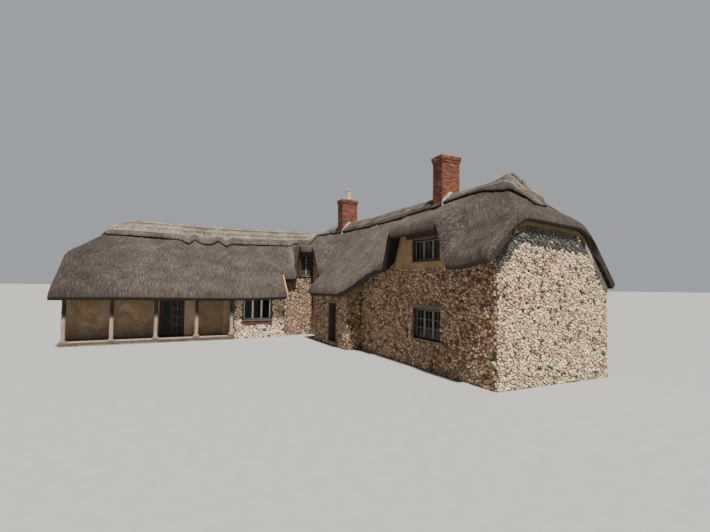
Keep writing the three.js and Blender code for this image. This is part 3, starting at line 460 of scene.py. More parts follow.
def wood_material(name, dark, light, axis=2, roughness=0.75, knots=0.35, tinted=False):
    """Wood with its grain along one axis, darker where the attribute tint is below 1."""
    g = Graph(name, roughness, 0.3)
    stretch = [38.0, 38.0, 38.0]
    stretch[axis] = 2.2
    grain = g.noise(1.0, 4.0, 0.62, 0.35, place=(tuple(stretch),))
    color = g.ramp(g.blend(grain, g.noise(2.4), knots), (0.34, dark), (0.64, light))
    return g.done(g.shaded(color, g.tint()) if tinted else color, g.bump(grain, 0.003, 0.7))


def paint_material(name, low, high, roughness=0.45):
    g = Graph(name, roughness, 0.4)
    wear = g.noise(7.0, 5.0, 0.65)
    return g.done(g.ramp(wear, (0.35, low), (0.62, high)), g.bump(wear, 0.001, 0.4))


def glass_material():
    g = Graph("window_glass", 0.08, 0.14)
    wave = g.noise(3.0, 2.0)
    color = g.ramp(wave, (0.35, (0.006, 0.008, 0.008)), (0.7, (0.014, 0.018, 0.018)))
    return g.done(color, g.bump(wave, 0.004, 0.25))


def floor_material():
    g = Graph("flagstones", 0.85, 0.3)
    flags = g.add("TexBrick", Vector=g.add("TexCoord", 3), Scale=1.0, Mortar_Size=0.012, Brick_Width=0.6,
                  Row_Height=0.42, Color1=(0.24, 0.20, 0.17, 1), Color2=(0.18, 0.155, 0.135, 1),
                  Mortar=(0.09, 0.075, 0.065, 1))
    wear = g.noise(4.0, 5.0, 0.65)
    color = g.mix(g.grey(wear, 0.4, 0.7, 0.0, 0.5), flags, (0.28, 0.22, 0.185))
    joints = g.bump(flags.node.outputs["Fac"], -0.004, 1.0)
    return g.done(color, g.bump(wear, 0.004, 0.6, joints))


RUBBLE = [
    (0.23, 0.15, 0.10), (0.72, 0.54, 0.37), (0.88, 0.71, 0.52), (0.54, 0.33, 0.23), (0.82, 0.65, 0.46),
    (0.42, 0.30, 0.20), (0.90, 0.78, 0.60), (0.70, 0.47, 0.35),
]
GABLE_RUBBLE = [
    (0.14, 0.095, 0.065), (0.64, 0.50, 0.335), (0.83, 0.70, 0.50), (0.40, 0.245, 0.17), (0.76, 0.62, 0.43),
    (0.25, 0.18, 0.12), (0.88, 0.78, 0.60), (0.62, 0.43, 0.32),
]
# Stones of the front walls, which stand in shade: partly a browner stone, and partly darker as painted shade.
BROWN_SHADED_RUBBLE = [
    (0.13, 0.075, 0.045), (0.36, 0.235, 0.145), (0.50, 0.36, 0.235), (0.25, 0.14, 0.085),
    (0.56, 0.42, 0.29), (0.19, 0.125, 0.08), (0.42, 0.27, 0.17),
]
# How each material is made, its name, and its shades from dark to light
MATERIALS = {key: make(*values) for key, make, *values in (
    ("thatch", thatch_material, "thatch", (0.011, 0.009, 0.007), (0.056, 0.044, 0.038),
     (0.165, 0.136, 0.120), 0.9),
    ("cap", thatch_material, "cap_straw", (0.040, 0.033, 0.028), (0.148, 0.125, 0.105),
     (0.35, 0.31, 0.268), 1.7),
    ("stone", stone_material, "rubble_stone", RUBBLE, (0.09, 0.08, 0.07)),
    ("gable_stone", stone_material, "gable_stone", GABLE_RUBBLE, (0.08, 0.072, 0.063)),
    ("brown_stone", stone_material, "brown_stone", BROWN_SHADED_RUBBLE, (0.08, 0.07, 0.06)),
    ("mortar", mortar_material, "lime_mortar", (0.045, 0.036, 0.028), (0.13, 0.105, 0.08)),
    ("limewash", limewash_material),
    ("ochre", mortar_material, "ochre_render", (0.20, 0.125, 0.06), (0.38, 0.26, 0.14), 9.0),
    ("brick", brick_material),
    ("brick_mortar", mortar_material, "brick_mortar", (0.20, 0.15, 0.11), (0.40, 0.32, 0.25), 40.0, 0.003),
    ("oak", wood_material, "weathered_oak", (0.16, 0.14, 0.12), (0.42, 0.38, 0.34)),
    ("post", wood_material, "post_oak", (0.15, 0.12, 0.095), (0.375, 0.32, 0.27), 2, 0.75, 0.35, True),
    ("oak_beam", wood_material, "weathered_oak_beam", (0.075, 0.055, 0.042), (0.19, 0.145, 0.115), 0),
    ("dark_upright", wood_material, "dark_timber", (0.028, 0.017, 0.011), (0.085, 0.052, 0.034), 2, 0.5),
    ("boards", wood_material, "floor_boards", (0.20, 0.12, 0.06), (0.42, 0.28, 0.16), 1),
    ("cream_boards", wood_material, "cream_boards", (0.17, 0.12, 0.065), (0.31, 0.225, 0.14), 0, 0.75, 0.6),
    ("cream_uprights", wood_material, "cream_uprights", (0.27, 0.20, 0.115), (0.44, 0.345, 0.23), 2, 0.75,
     0.6),
    ("pale_oak", wood_material, "pale_oak", (0.14, 0.12, 0.10), (0.30, 0.27, 0.23)),
    ("white", paint_material, "white_paint", (0.62, 0.62, 0.59), (0.80, 0.80, 0.77)),
    ("glass", glass_material),
    ("flags", floor_material),
    ("pad_stone", mortar_material, "pad_stone", (0.13, 0.098, 0.08), (0.265, 0.205, 0.17), 18.0, 0.006),
    ("lead", mortar_material, "flashing", (0.07, 0.065, 0.06), (0.44, 0.42, 0.39), 17.0, 0.012),
    ("clay", mortar_material, "clay", (0.50, 0.32, 0.19), (0.70, 0.52, 0.36), 9.0, 0.002),
    ("terracotta", mortar_material, "terracotta", (0.50, 0.25, 0.13), (0.66, 0.38, 0.22), 12.0, 0.002),
    ("iron", paint_material, "ironwork", (0.012, 0.012, 0.012), (0.04, 0.038, 0.035), 0.4),
    ("rod", wood_material, "hazel_rods", (0.20, 0.15, 0.10), (0.55, 0.46, 0.34), 0),
    ("kerb", mortar_material, "kerb_stone", (0.075, 0.048, 0.036), (0.165, 0.11, 0.083), 11.0, 0.005),
    ("ochre_wood", wood_material, "ochre_board", (0.085, 0.066, 0.024), (0.17, 0.135, 0.055), 0),
    ("grey_fillet", mortar_material, "grey_fillet", (0.30, 0.29, 0.27), (0.50, 0.48, 0.45), 8.0, 0.004),
)}


# Meshes
class Builder:
    """Gathers vertices and faces, with a tint for each vertex and straw coordinates where needed."""

    def __init__(self):
        self.points, self.faces, self.tints, self.straw, self.count = [], [], [], [], 0

    def add(self, points, faces, tint=1.0, straw=None):
        points = np.asarray(points, float).reshape(-1, 3)
        self.points.append(points)
        self.faces += [tuple(int(i) + self.count for i in face) for face in faces]
        self.tints.append(np.broadcast_to(np.asarray(tint, float), (len(points),)))
        self.straw.append(points if straw is None else np.asarray(straw, float).reshape(-1, 3))
        self.count += len(points)

    def sheet(self, points, flip=False, tint=1.0, straw=None):
        """Rows of points, joined by faces."""
        points = np.asarray(points, float)
        self.add(points, grid_faces(*points.shape[:2], flip), tint, straw)

    def piece(self, name, material, body="house", slot=None, replaces=(), smooth=False):
        mesh = bpy.data.meshes.new(name)
        mesh.from_pydata(np.concatenate(self.points).tolist(), [], self.faces)
        tint = mesh.attributes.new("tint", "FLOAT", "POINT")
        tint.data.foreach_set("value", np.concatenate(self.tints).astype(np.float32))
        straw = mesh.attributes.new("straw", "FLOAT_VECTOR", "POINT")
        straw.data.foreach_set("vector", np.concatenate(self.straw).astype(np.float32).ravel())
        mesh.polygons.foreach_set("use_smooth", np.full(len(mesh.polygons), smooth))
        mesh.materials.append(MATERIALS[material])
        mesh.update()
        piece = bpy.data.objects.new(name, mesh)
        bpy.context.scene.collection.objects.link(piece)
        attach(piece, body)
        if replaces:
            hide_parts(*replaces)
        return piece


def grid_faces(rows, columns, flip):
    j, i = np.meshgrid(np.arange(rows - 1), np.arange(columns - 1), indexing="ij")
    a = (j * columns + i).ravel()
    quads = np.stack([a, a + 1, a + 1 + columns, a + columns], 1)
    return (quads[:, ::-1] if flip else quads).tolist()


def box_faces():
    """Sides, cut edges and cut corners of a box, where corner c has the vertices 3 c to 3 c + 2."""
    faces = []
    for axis in range(3):
        p, q = (axis + 1) % 3, (axis + 2) % 3
        u, v = 1 << p, 1 << q
        for base, way in ((0, -1), (1 << axis, 1)):
            faces.append([3 * (base + k) + axis for k in (0, u, u + v, v)][::way])
        for k, way in ((0, -1), (u, 1), (v, 1), (u + v, -1)):
            far = k + (1 << axis)
            faces.append([3 * k + p, 3 * far + p, 3 * far + q, 3 * k + q][::way])
    for corner in range(8):
        way = 1 if corner.bit_count() % 2 else -1
        faces.append([3 * corner, 3 * corner + 1, 3 * corner + 2][::way])
    return faces


BOX_FACES = box_faces()


def ring_faces(rows, sides, flip=False):
    """Faces between rings of vertices, the last of each ring joined to its first."""
    j, i = (part.ravel() for part in np.meshgrid(np.arange(rows - 1), np.arange(sides), indexing="ij"))
    low, high, k = j * sides, (j + 1) * sides, (i + 1) % sides
    quads = np.stack([low + i, low + k, high + k, high + i], 1)
    return (quads[:, [0, 3, 2, 1]] if flip else quads).tolist()


def soft_box(low, high, chamfer):
    """The vertices of a box with its edges cut back."""
    low, high = np.array(low, float), np.array(high, float)
    cut = min(chamfer, float((high - low).min()) * 0.3)
    pick = (np.arange(8)[:, None] >> np.arange(3)) & 1
    corners = np.where(pick, high, low)
    inner = corners + cut * np.where(pick, -1, 1)
    return np.where(np.eye(3, dtype=bool), corners[:, None], inner[:, None])


def tube(path, radius, sides=6):
    """A round rod along a path, with flat ends."""
    path = np.asarray(path, float)
    step = np.gradient(path, axis=0)
    step /= np.linalg.norm(step, axis=1, keepdims=True) + 1e-12
    side = np.cross(step, (0.03, 0.05, 1.0))
    side /= np.linalg.norm(side, axis=1, keepdims=True) + 1e-12
    up = np.cross(side, step)
    angle = np.arange(sides) * 2 * np.pi / sides
    ring = np.cos(angle)[None, :, None] * side[:, None] + np.sin(angle)[None, :, None] * up[:, None]
    last = (len(path) - 1) * sides
    ends = [list(range(sides)), list(reversed(range(last, last + sides)))]
    return path[:, None] + radius * ring, ring_faces(len(path), sides, True) + ends


# Thatch
STEEPNESS = 1.45  # length down a slope for each metre in plan
# Rows of points down an eave's cut face, and from the eave to the ridge along the underside
CUT_ROWS = np.array([0.0, 0.35, 0.7, 1.0])
UNDER_ROWS = np.array([0.0, 0.08, 0.3, 0.6, 1.0])


def stations(length, step, fine=(0.0, 0.006, 0.02, 0.045, 0.08, 0.12, 0.17, 0.24)):
    """Distances from 0 to length, close together at both ends."""
    middle = np.linspace(fine[-1], length - fine[-1], max(int(length / step), 2))
    ends = np.array(fine[:-1])
    return np.concatenate([ends, middle, length - ends[::-1]])


def weathering_and_cheek_light(x, y):
    """Colour of the thatch: darker on the wing's hip and towards the near gable, paler in the middle, and with a
    painted highlight on the dormer's left cheek that lightens its shade.
    """
    hip = smoothstep((WING_CREST + 0.6 - x) / 2.6)
    near = smoothstep((-5.5 - y) / 2.5)
    middle = bell(y, -1.5, 4.0) * smoothstep((x + 5.0) / 1.0)
    # Painted highlight: the dormer's left cheek, which faces away from the light, is made lighter.
    cheek = bell(x, DORMER["left"] - 0.15, 0.22) * smoothstep((y - 5.0) / 0.4) * smoothstep((7.2 - y) / 0.4)
    return (1 - 0.34 * hip) * (1 - 0.2 * near + 0.26 * middle) * (1 + 0.8 * cheek)


def thatch_relief(along, down, seed):
    """Uneven beds of straw: broad swells, and fine ridges that run down the slope."""
    waves = ((0.022, 0.9, 1.1), (0.010, 0.33, 0.5), (0.009, 0.085, 0.6), (0.006, 0.05, 0.22))
    return sum(height * noise(along / wide, down / tall, seed + index)
               for index, (height, wide, tall) in enumerate(waves))


def under_edge(under, face, t, cut_t):
    """The lower line of a slope's side, up the cut face and then along the underside."""
    at, line = UNDER_ROWS, under
    if cut_t:
        at = np.concatenate([np.linspace(0, cut_t, len(face)), UNDER_ROWS[1:]])
        line = np.concatenate([face, under[1:]])
    return np.stack([np.interp(t, at, line[:, k]) for k in range(3)], -1)


def slope_top(x, y, along, down, seed):
    """The straw on a slope, calmer towards its free edges, where it keeps to the outline."""
    free = edge_distance(x, y)
    lift = thatch_relief(along, down, seed) * (smoothstep(free / 0.2) * 0.7 + 0.3) - 0.008
    even = np.stack([x, y, roof(x, y) - eave_roll(x, y)], -1)
    top = even + roof_normal(x, y) * lift[..., None]
    at_edge = free < 0.02
    top[at_edge, :2] = even[at_edge, :2]
    return top


def thatch_slope(node, place, cut, flip, seed):
    """One slope: place(s, t) gives the plan, s along the eave and t from the eave to the ridge.

    Cut gives how far in and how deep the eave's cut face ends, or None where there is no eave."""
    ends = [np.array(place(s, t), float) for s, t in ((0, 0), (1, 0), (0.5, 0), (0.5, 1))]
    length, depth = np.linalg.norm(ends[1] - ends[0]), np.linalg.norm(ends[3] - ends[2]) * STEEPNESS
    s, t = stations(length, 0.045) / length, stations(depth, 0.12) / depth
    grid_s, grid_t = np.meshgrid(s, t)
    x, y = place(grid_s, grid_t)
    along, down = grid_s * length, grid_t * depth
    top = slope_top(x, y, along, down, seed)
    under_x, under_y = place(*np.meshgrid(s, UNDER_ROWS))
    soffit = roof(under_x, under_y) - thatch_depth(under_x, under_y) - 0.012
    under = np.stack([under_x, under_y, soffit], -1)
    cut_t = cut and cut[0] * STEEPNESS / depth
    if cut:
        foot = roof(x[0], y[0]) - np.maximum(cut[1], eave_roll(x[0], y[0]) + EAVE_FACE)
        under[0] = np.stack([*place(s, np.full_like(s, cut_t)), foot], -1)
    share = CUT_ROWS[:, None]
    face = lerp(top[0], under[0], share[..., None])
    if cut:
        face += roof_normal(x[0], y[0]) * [1, 1, 0] * (0.02 * np.sin(share * np.pi))[..., None]
        face[..., 2] += 0.012 * noise(along[0] / 0.06, share * 3, seed + 4) * (0 < share) * (share < 1)
    builder = Builder()
    builder.sheet(top, flip, weathering_and_cheek_light(x, y).ravel(), np.stack([along, down, 0 * along], -1))
    cut_straw = np.broadcast_arrays(along[0] * 3, down[0] + share, 0)
    # Painted shade: the cut face and the sides are darkened to 0.7 and the underside to 0.35, for the shade under
    # the eave.
    builder.sheet(face, not flip, 0.7, np.stack(cut_straw, -1))
    builder.sheet(under, not flip, 0.35)
    for index, side in ((0, not flip), (-1, flip)):
        edge_low = under_edge(under[:, index], face[:, index], t, cut_t)
        strips = np.stack([lerp(top[:, index], edge_low, k) for k in (0, 0.5, 1)])
        builder.sheet(strips, side, 0.7, strips * [3, 3, 1])
    builder.piece(node + "_straw", "thatch", slot="thatch", replaces=[node], smooth=True)


def build_thatch():
    def main_front(s, t):
        start = near_start(lerp(FRONT_EAVE[0], 0, t), HIP_FOOT["front"])
        y = lerp(LOW_EAVE_END, start, s)
        return lerp(front_eave(y), 0, t), y

    def main_rear(s, t):
        x = lerp(REAR_EAVE, 0, t)
        return x, lerp(near_start(x, HIP_FOOT["rear"]), far_start(x, HIP_FOOT["far_rear"]), s)

    def half_hip(left, right, crest, edge, top):
        def place(s, t):
            x = lerp(lerp(left, -crest, t), lerp(right, crest, t), s)
            return x, lerp(edge, top, t)
        return place

    def valley(s, t):
        x = lerp(VALLEY_SPLIT, 0, t)
        return x, lerp(far_start(x, HIP_FOOT["far_front"]), LOW_EAVE_END, s)

    def wing_front(s, t):
        y = lerp(WING_EAVE, WING_RIDGE_LINE, t)
        return lerp(wing_start(WING_RIDGE_LINE - y), CORNER_LEFT, s), y

    def wing_corner(s, t):
        return lerp(CORNER_LEFT, VALLEY_SPLIT, s), lerp(CORNER_EAVE, WING_RIDGE_LINE, t)

    def wing_rear(s, t):
        y = lerp(WING_REAR_EAVE, WING_RIDGE_LINE, t)
        return lerp(VALLEY_SPLIT, wing_start(y - WING_RIDGE_LINE), s), y

    def wing_hip(s, t):
        low = lerp(WING_HIP_FOOT, CREST_HALF, t)
        return lerp(WING_HIP_EDGE, WING_CREST, t), WING_RIDGE_LINE + low * (1 - 2 * s)

    near_hip = half_hip(HIP_FOOT["front"], HIP_FOOT["rear"], CREST_HALF, NEAR_EDGE, NEAR_CREST)
    far_hip = half_hip(HIP_FOOT["far_rear"], HIP_FOOT["far_front"], -CREST_HALF, FAR_EDGE, FAR_CREST)
    slopes = (
        ("main_front", main_front, EAVE_CUT, True), ("main_rear", main_rear, REAR_CUT, False),
        ("near_half_hip", near_hip, HIP_CUT, False), ("far_half_hip", far_hip, HIP_CUT, False),
        ("valley", valley, None, True), ("wing_front", wing_front, EAVE_CUT, False),
        ("wing_corner", wing_corner, EAVE_CUT, False), ("wing_rear", wing_rear, EAVE_CUT, False),
        ("wing_half_hip", wing_hip, WING_HIP_CUT, True))
    for index, (name, place, cut, flip) in enumerate(slopes):
        thatch_slope(name + "_thatch", place, cut, flip, 10 * (index + 1))


# Ridge caps
RODS = (0.2, 0.48, 0.76)
CAP_INSET = 0.05
CROSS_STEP = 0.36


def cap_sheet(node, plan, width, length, thick, seed, shade=1.0):
    """A straw cap over a ridge: plan(a, b) gives the plan, a along the ridge and b from -1 to 1 across."""
    a = stations(length, 0.05, (0.0, 0.01, 0.03, 0.06)) / length
    b = stations(width, 0.06, (0.0, 0.01, 0.025, 0.05)) / width * 2 - 1
    grid_a, grid_b = np.meshgrid(a, b)
    x, y = plan(grid_a, grid_b)
    aside = np.abs(grid_b)
    to_side = (1 - aside) * width / 2
    to_end = np.minimum(grid_a, 1 - grid_a) * length
    free = np.minimum(to_side, to_end)
    along, down = grid_a * length, to_side
    ragged = 0.010 * noise(along / 0.07, grid_b * 0, seed + 5) * np.clip(1 - free / 0.05, 0, 1)
    relief = 0.016 * noise(along / 0.5, down / 0.35, seed)
    relief += 0.008 * noise(along / 0.06, down / 0.5, seed + 1)
    thick = thick * lerp(0.55, 1, smoothstep(to_end / 0.3))
    height = roof(x, y) + thick - lip(free, 0.06) * 0.7 + relief * np.clip(free / 0.06, 0.2, 1) + ragged
    top = np.stack([x, y, height], -1)
    from_rod = np.min([np.abs(aside - share) for share in RODS], axis=0) * width / 2
    # Painted shade: the straw is darkened at the cap's free edges and in lines along each rod. Below the outermost
    # rods it is darker as well.
    tint = shade * (1.0 - 0.25 * smoothstep(1 - free / 0.05)) * (1 - 0.6 * smoothstep(1 - from_rod / 0.055))
    tint *= 1 - 0.5 * smoothstep((aside - RODS[-1]) / 0.05)
    builder = Builder()
    builder.sheet(top, False, tint.ravel(), np.stack([along, down + 3, 0 * along], -1))
    inset = CAP_INSET / length
    under_x, under_y = plan(lerp(inset, 1 - inset, grid_a), grid_b * (1 - CAP_INSET / (width / 2)))
    under = np.stack([under_x, under_y, roof(under_x, under_y) - 0.03], -1)
    # Painted shade: the underside is darkened to 0.12 and the rims to 0.13.
    builder.sheet(under, True, 0.12)
    for edge, flip in ((np.s_[0], True), (np.s_[-1], False), (np.s_[:, 0], False), (np.s_[:, -1], True)):
        upper, lower = top[edge], under[edge]
        rim = np.stack([upper, lerp(upper, lower, 0.5), lower])
        builder.sheet(rim, not flip, 0.13)
    builder.piece(node + "_straw", "cap", slot="ridge_thatch", replaces=[node], smooth=True)


def wing_cap_half(x):
    """Half width of the wing's cap in plan, with its pointed and scalloped ornament."""
    tips = np.interp(x, [-10.6, -10.14, -9.78, -8.47, -8.0, -7.6], [0, 0.19, -0.10, -0.12, 0.16, 0])
    bowl = np.clip(1 - (np.abs(x + 9.125) / 0.655) ** 2.4, 0, 1)
    run_out = smoothstep((x + 2.75) / 1.3)
    wider = 0.1 * smoothstep((x + 13) / 5)
    return lerp(WING_CAP_HALF + wider + tips + 0.25 * bowl + 0.012 * noise(x / 0.4, 0, 3), 0.22, run_out)


def main_cap_half(y):
    """Half width of the main cap: hooded at its ends, swelling over the half hips."""
    ends = np.minimum(y - (NEAR_CREST - MAIN_CAP_WRAP), FAR_CREST + MAIN_CAP_WRAP - y)
    half = MAIN_CAP_HALF + hump(ends, *CAP_SWELL) - hump(y, *CAP_PINCH)
    half = half + 0.03 * noise(y / 0.55, 0, 8) + 0.015 * noise(y / 0.21, 0, 9)
    return half * lerp(CAP_HOOD[0], 1, smoothstep(ends / CAP_HOOD[1]))


def rod_on_roof(builder, points, radius, lift):
    points = np.array(points, float)
    points = np.c_[points[:, :2], roof(points[:, 0], points[:, 1]) + lift]
    builder.add(*tube(points, radius, 5), tint=rng.uniform(0.6, 1.3))


def wing_rods(rods):
    """Long rods along both sides of the wing's cap, with crossed ones between the lower two rows."""
    x = np.arange(WING_CREST - 1.15, -1.8, 0.15)
    for side in (-1, 1):
        for share in RODS:
            wave = 0.008 * noise(x / 0.5, 0, 40 + int(share * 10))
            offset = share * np.minimum(WING_CAP_HALF, wing_cap_half(x)) + wave
            rod_on_roof(rods, np.c_[x, WING_RIDGE_LINE + side * offset], 0.018, 0.158)
        inner, outer = (WING_RIDGE_LINE + side * share * WING_CAP_HALF for share in RODS[1:])
        for left in np.arange(WING_CREST - 1.0, -2.9, CROSS_STEP):
            for start, end in ((inner, outer), (outer, inner)):
                rod_on_roof(rods, [(left, start), (left + CROSS_STEP, end)], 0.008, 0.155)


def main_rods(rods):
    """Two rows of rods on each side of the main cap, broken at the chimneys."""
    y = np.arange(NEAR_CREST - 1.1, FAR_CREST + 1.1, 0.15)
    clear = [(spec["y0"] - 0.2, spec["y1"] + 0.2) for spec in CHIMNEYS.values()]
    keep = np.all([(y < low) | (y > high) for low, high in clear], axis=0)
    for side in (-1, 1):
        for share in (0.3, 0.7):
            offset = share * main_cap_half(y) + 0.012 * noise(y / 0.6, 0, 50 + side)
            for run in np.split(np.arange(len(y)), np.where(~keep)[0]):
                run = run[keep[run]]
                if len(run) > 3:
                    rod_on_roof(rods, np.c_[side * offset[run], y[run]], 0.013, 0.145)


def build_caps():
    wing_from, wing_to = WING_CREST - WING_CAP_WRAP, WING_CAP_STOP + 0.5
    main_from, main_to = NEAR_CREST - MAIN_CAP_WRAP, FAR_CREST + MAIN_CAP_WRAP

    def wing_plan(a, b):
        x = lerp(wing_from, wing_to, a)
        hood = np.sqrt(np.clip(1 - (1 - np.clip((x - wing_from) / 0.35, 0, 1)) ** 2, 0.3, 1))
        return x, WING_RIDGE_LINE + b * wing_cap_half(x) * hood

    def main_plan(a, b):
        y = lerp(main_from, main_to, a)
        return -b * main_cap_half(y), y

    cap_sheet("wing_ridge_cap", wing_plan, WING_CAP_HALF * 2, wing_to - wing_from, 0.14, 100)
    cap_sheet("main_ridge_cap", main_plan, MAIN_CAP_HALF * 2, main_to - main_from, 0.13, 110, 0.68)
    rods = Builder()
    wing_rods(rods)
    main_rods(rods)
    rods.piece("ridge_rods", "rod", slot="ridge_thatch", smooth=True)


STRAWS_A_METRE, TUFT_STRAWS = 46, 420


def build_fringe():
    """Loose straws along the eaves and verges, and a ragged tuft on the near end of the ridge."""
    straws = Builder()

    def straw(base, aim, size, width):
        aim = np.array(aim, float) / np.linalg.norm(aim)
        side = np.cross(aim, (0.3, 0.2, 1.0))
        side = side / np.linalg.norm(side) * width
        up = np.cross(side, aim)
        ring = [base + side, base - side * 0.5 + up, base - side * 0.5 - up]
        straws.add(ring + [base + aim * size], [(0, 1, 3), (1, 2, 3), (2, 0, 3)], rng.uniform(0.7, 1.5))

    middle = OUTLINE.mean(0)
    for a, b in itertools.pairwise(OUTLINE):
        out = np.array([(b - a)[1], -(b - a)[0]]) / max(np.linalg.norm(b - a), 1e-9)
        out *= np.sign(out @ ((a + b) / 2 - middle)) or 1
        for _ in range(int(np.linalg.norm(b - a) * STRAWS_A_METRE)):
            spot = lerp(a, b, rng.random()) - out * rng.uniform(0.012, 0.05)
            base = np.array([*spot, roof(*spot) - float(eave_roll(*spot)) - rng.uniform(0.0, 0.05)])
            straw(base, (*(out * 0.35 + rng.normal(0, 0.25, 2)), -1), rng.uniform(0.02, 0.06), 0.003)
    for _ in range(TUFT_STRAWS):
        angle, reach = rng.uniform(0, 6.28), rng.uniform(0, 0.32)
        spot = np.array([math.cos(angle) * reach, TUFT_Y + math.sin(angle) * reach * 1.6])
        base = np.array([*spot, roof(*spot) + 0.09])
        straw(base, (*(spot - [0, TUFT_Y]) * 2, 0.7), rng.uniform(0.06, 0.17), 0.006)
    straws.piece("loose_straw", "cap", slot="thatch")


# Walls
FACINGS = {
    "near": ((1, 0, 0), (0, -1, 0)), "far": ((-1, 0, 0), (0, 1, 0)),
    "front": ((0, -1, 0), (-1, 0, 0)), "rear": ((0, 1, 0), (1, 0, 0)),
}


class Face:
    """The plane of a wall: u to the right as seen from outside, z up, d outwards."""

    def __init__(self, facing, plane):
        self.right, self.out = (np.array(v, float) for v in FACINGS[facing])
        self.plane = plane
        self.origin = np.abs(self.out) * plane
        self.sign = self.right.sum()

    def span(self, low, high):
        return sorted((low * self.sign, high * self.sign))

    def openings(self, openings):
        return [(*self.span(*span), *height) for span, height in openings]

    def extent(self, node):
        """The box of a node on this face: from and to along it, in height and outwards."""
        low, high = (np.array(corner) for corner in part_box(node))
        along = sorted((low @ self.right, high @ self.right))
        out = sorted(((low - self.origin) @ self.out, (high - self.origin) @ self.out))
        return (*along, low[2], high[2], *out)

    def world(self, points):
        u, z, d = np.moveaxis(np.asarray(points, float), -1, 0)
        flat = self.origin + u[..., None] * self.right + d[..., None] * self.out
        return flat + z[..., None] * np.array([0, 0, 1.0])

    def box(self, builder, outline, depths, chamfer=0.006, tint=1.0):
        """A box with its outline on the wall, (u, z, u, z), and its depths, back and front."""
        u0, z0, u1, z1 = outline
        corners = soft_box((u0, z0, depths[0]), (u1, z1, depths[1]), chamfer)
        builder.add(self.world(corners), BOX_FACES, tint)

    def soffit(self, u):
        """Height of the thatch's underside along the wall."""
        x, y, _ = np.moveaxis(self.world(np.stack([u, u * 0, u * 0 + 0.02], -1)), -1, 0)
        return roof(x, y) - thatch_depth(x, y) - 0.02


# Outer faces of the walls
MAIN_FRONT, MAIN_REAR = Face("front", -2.7), Face("rear", 2.7)
NEAR_GABLE, FAR_GABLE = Face("near", -10.68), Face("far", 10.67)
OUT_FRONT, OUT_NEAR, OUT_FAR = Face("front", -3.5), Face("near", -1.63), Face("far", 2.62)
WING_FRONT, WING_REAR, WING_END = Face("near", 5.17), Face("far", 10.45), Face("front", -16.1)
ROOM_FRONT, ROOM_LEFT, ROOM_RIGHT = Face("near", 4.47), Face("front", -7.74), Face("rear", -4.79)


STONE_CORNERS = 8
FLINT_SHARE, FLINT_TINT = 0.05, 0.92
# Rings of a stone from the wall outwards: the share of its outline, and of how far it stands out
FLAT_STONE = ((1.0, None), (0.8, 1.0))
ROUND_STONE = ((1.0, None), (0.95, 0.6), (0.72, 1.0))


def stone_cells(low, high, top, pitch, gap):
    """Points over a wall, some of them dropped, and the polygon of the wall that lies nearest to each."""
    columns = int((high - low) / pitch[0]) + 5
    rows = int(top / pitch[1]) + 5
    i, j = np.meshgrid(np.arange(columns), np.arange(rows))
    centre = np.stack([low + (i - 2 + 0.5 * (j % 2)) * pitch[0], (j - 2) * pitch[1]], -1)
    centre += rng.uniform(-0.42, 0.42, centre.shape) * pitch
    gone = rng.random(centre.shape[:2]) < 0.16
    turn = rng.uniform(0, 1, centre.shape[:2])[..., None]
    angle = np.arange(STONE_CORNERS) * 2 * np.pi / STONE_CORNERS + turn
    way = np.stack([np.cos(angle), np.sin(angle)], -1)
    reach = np.full((*centre.shape[:2], STONE_CORNERS), max(pitch) * 1.1)
    for di, dj in itertools.product(range(-2, 3), repeat=2):
        if di or dj:
            other = np.roll(centre, (dj, di), (0, 1)) - centre
            distance = np.linalg.norm(other, axis=-1)
            toward = (way * (other / distance[..., None])[..., None, :]).sum(-1)
            limit = (distance[..., None] / 2 - gap) / np.maximum(toward, 1e-3)
            skip = np.roll(gone, (dj, di), (0, 1))[..., None] | (toward < 1e-3)
            reach = np.where(skip, reach, np.minimum(reach, limit))
    ring = centre[..., None, :] + way * reach[..., None]
    inner = np.s_[2:-2, 2:-2]
    keep = ~gone[inner]
    return centre[inner][keep], ring[inner][keep]


def trim_cells(middle, ring, openings):
    """Draws stones back from openings. Says which of them stand clear."""
    clear = np.ones(len(ring), bool)
    u, z = middle.T
    for a, b, bottom, top in openings:
        clear &= ~((u > a) & (u < b) & (z > bottom) & (z < top))
        inside = (ring[..., 0] > a) & (ring[..., 0] < b) & (ring[..., 1] > bottom) & (ring[..., 1] < top)
        sides = ((u <= a, 0, a), (u >= b, 0, b), (z <= bottom, 1, bottom), (z >= top, 1, top))
        for beside, axis, limit in sides:
            move = inside & beside[:, None]
            ring[..., axis] = np.where(move, limit, ring[..., axis])
            inside &= ~move
    return clear


def stone_rings(ring, middle, proud, profile):
    """The points of each stone, which stands out from the wall, rough and leaning a little."""
    count = len(ring)
    stand = rng.uniform(*proud, (count, 1))
    lean = ((ring - middle) * rng.normal(0, 0.16, (count, 1, 2))).sum(-1)
    rings = []
    for share, level in profile:
        rough = rng.uniform(0.86, 1.1, (count, STONE_CORNERS))
        depth = np.full((count, STONE_CORNERS), -0.004)
        if level is not None:
            depth = np.maximum(stand * level * rough + lean * share, 0.004)
        rings.append(np.concatenate([middle + (ring - middle) * share, depth[..., None]], -1))
    return np.stack(rings, 1)


def stone_faces(count, each):
    """The sides and the front of each stone, which has so many points."""
    first = np.arange(count)[:, None] * each
    i = np.arange(STONE_CORNERS)
    j = (i + 1) % STONE_CORNERS
    below = (first + np.arange(0, each - STONE_CORNERS, STONE_CORNERS))[..., None]
    above = below + STONE_CORNERS
    sides = np.stack([below + i, below + j, above + j, above + i], -1).reshape(-1, 4)
    return sides.tolist() + (first + each - STONE_CORNERS + i).tolist()


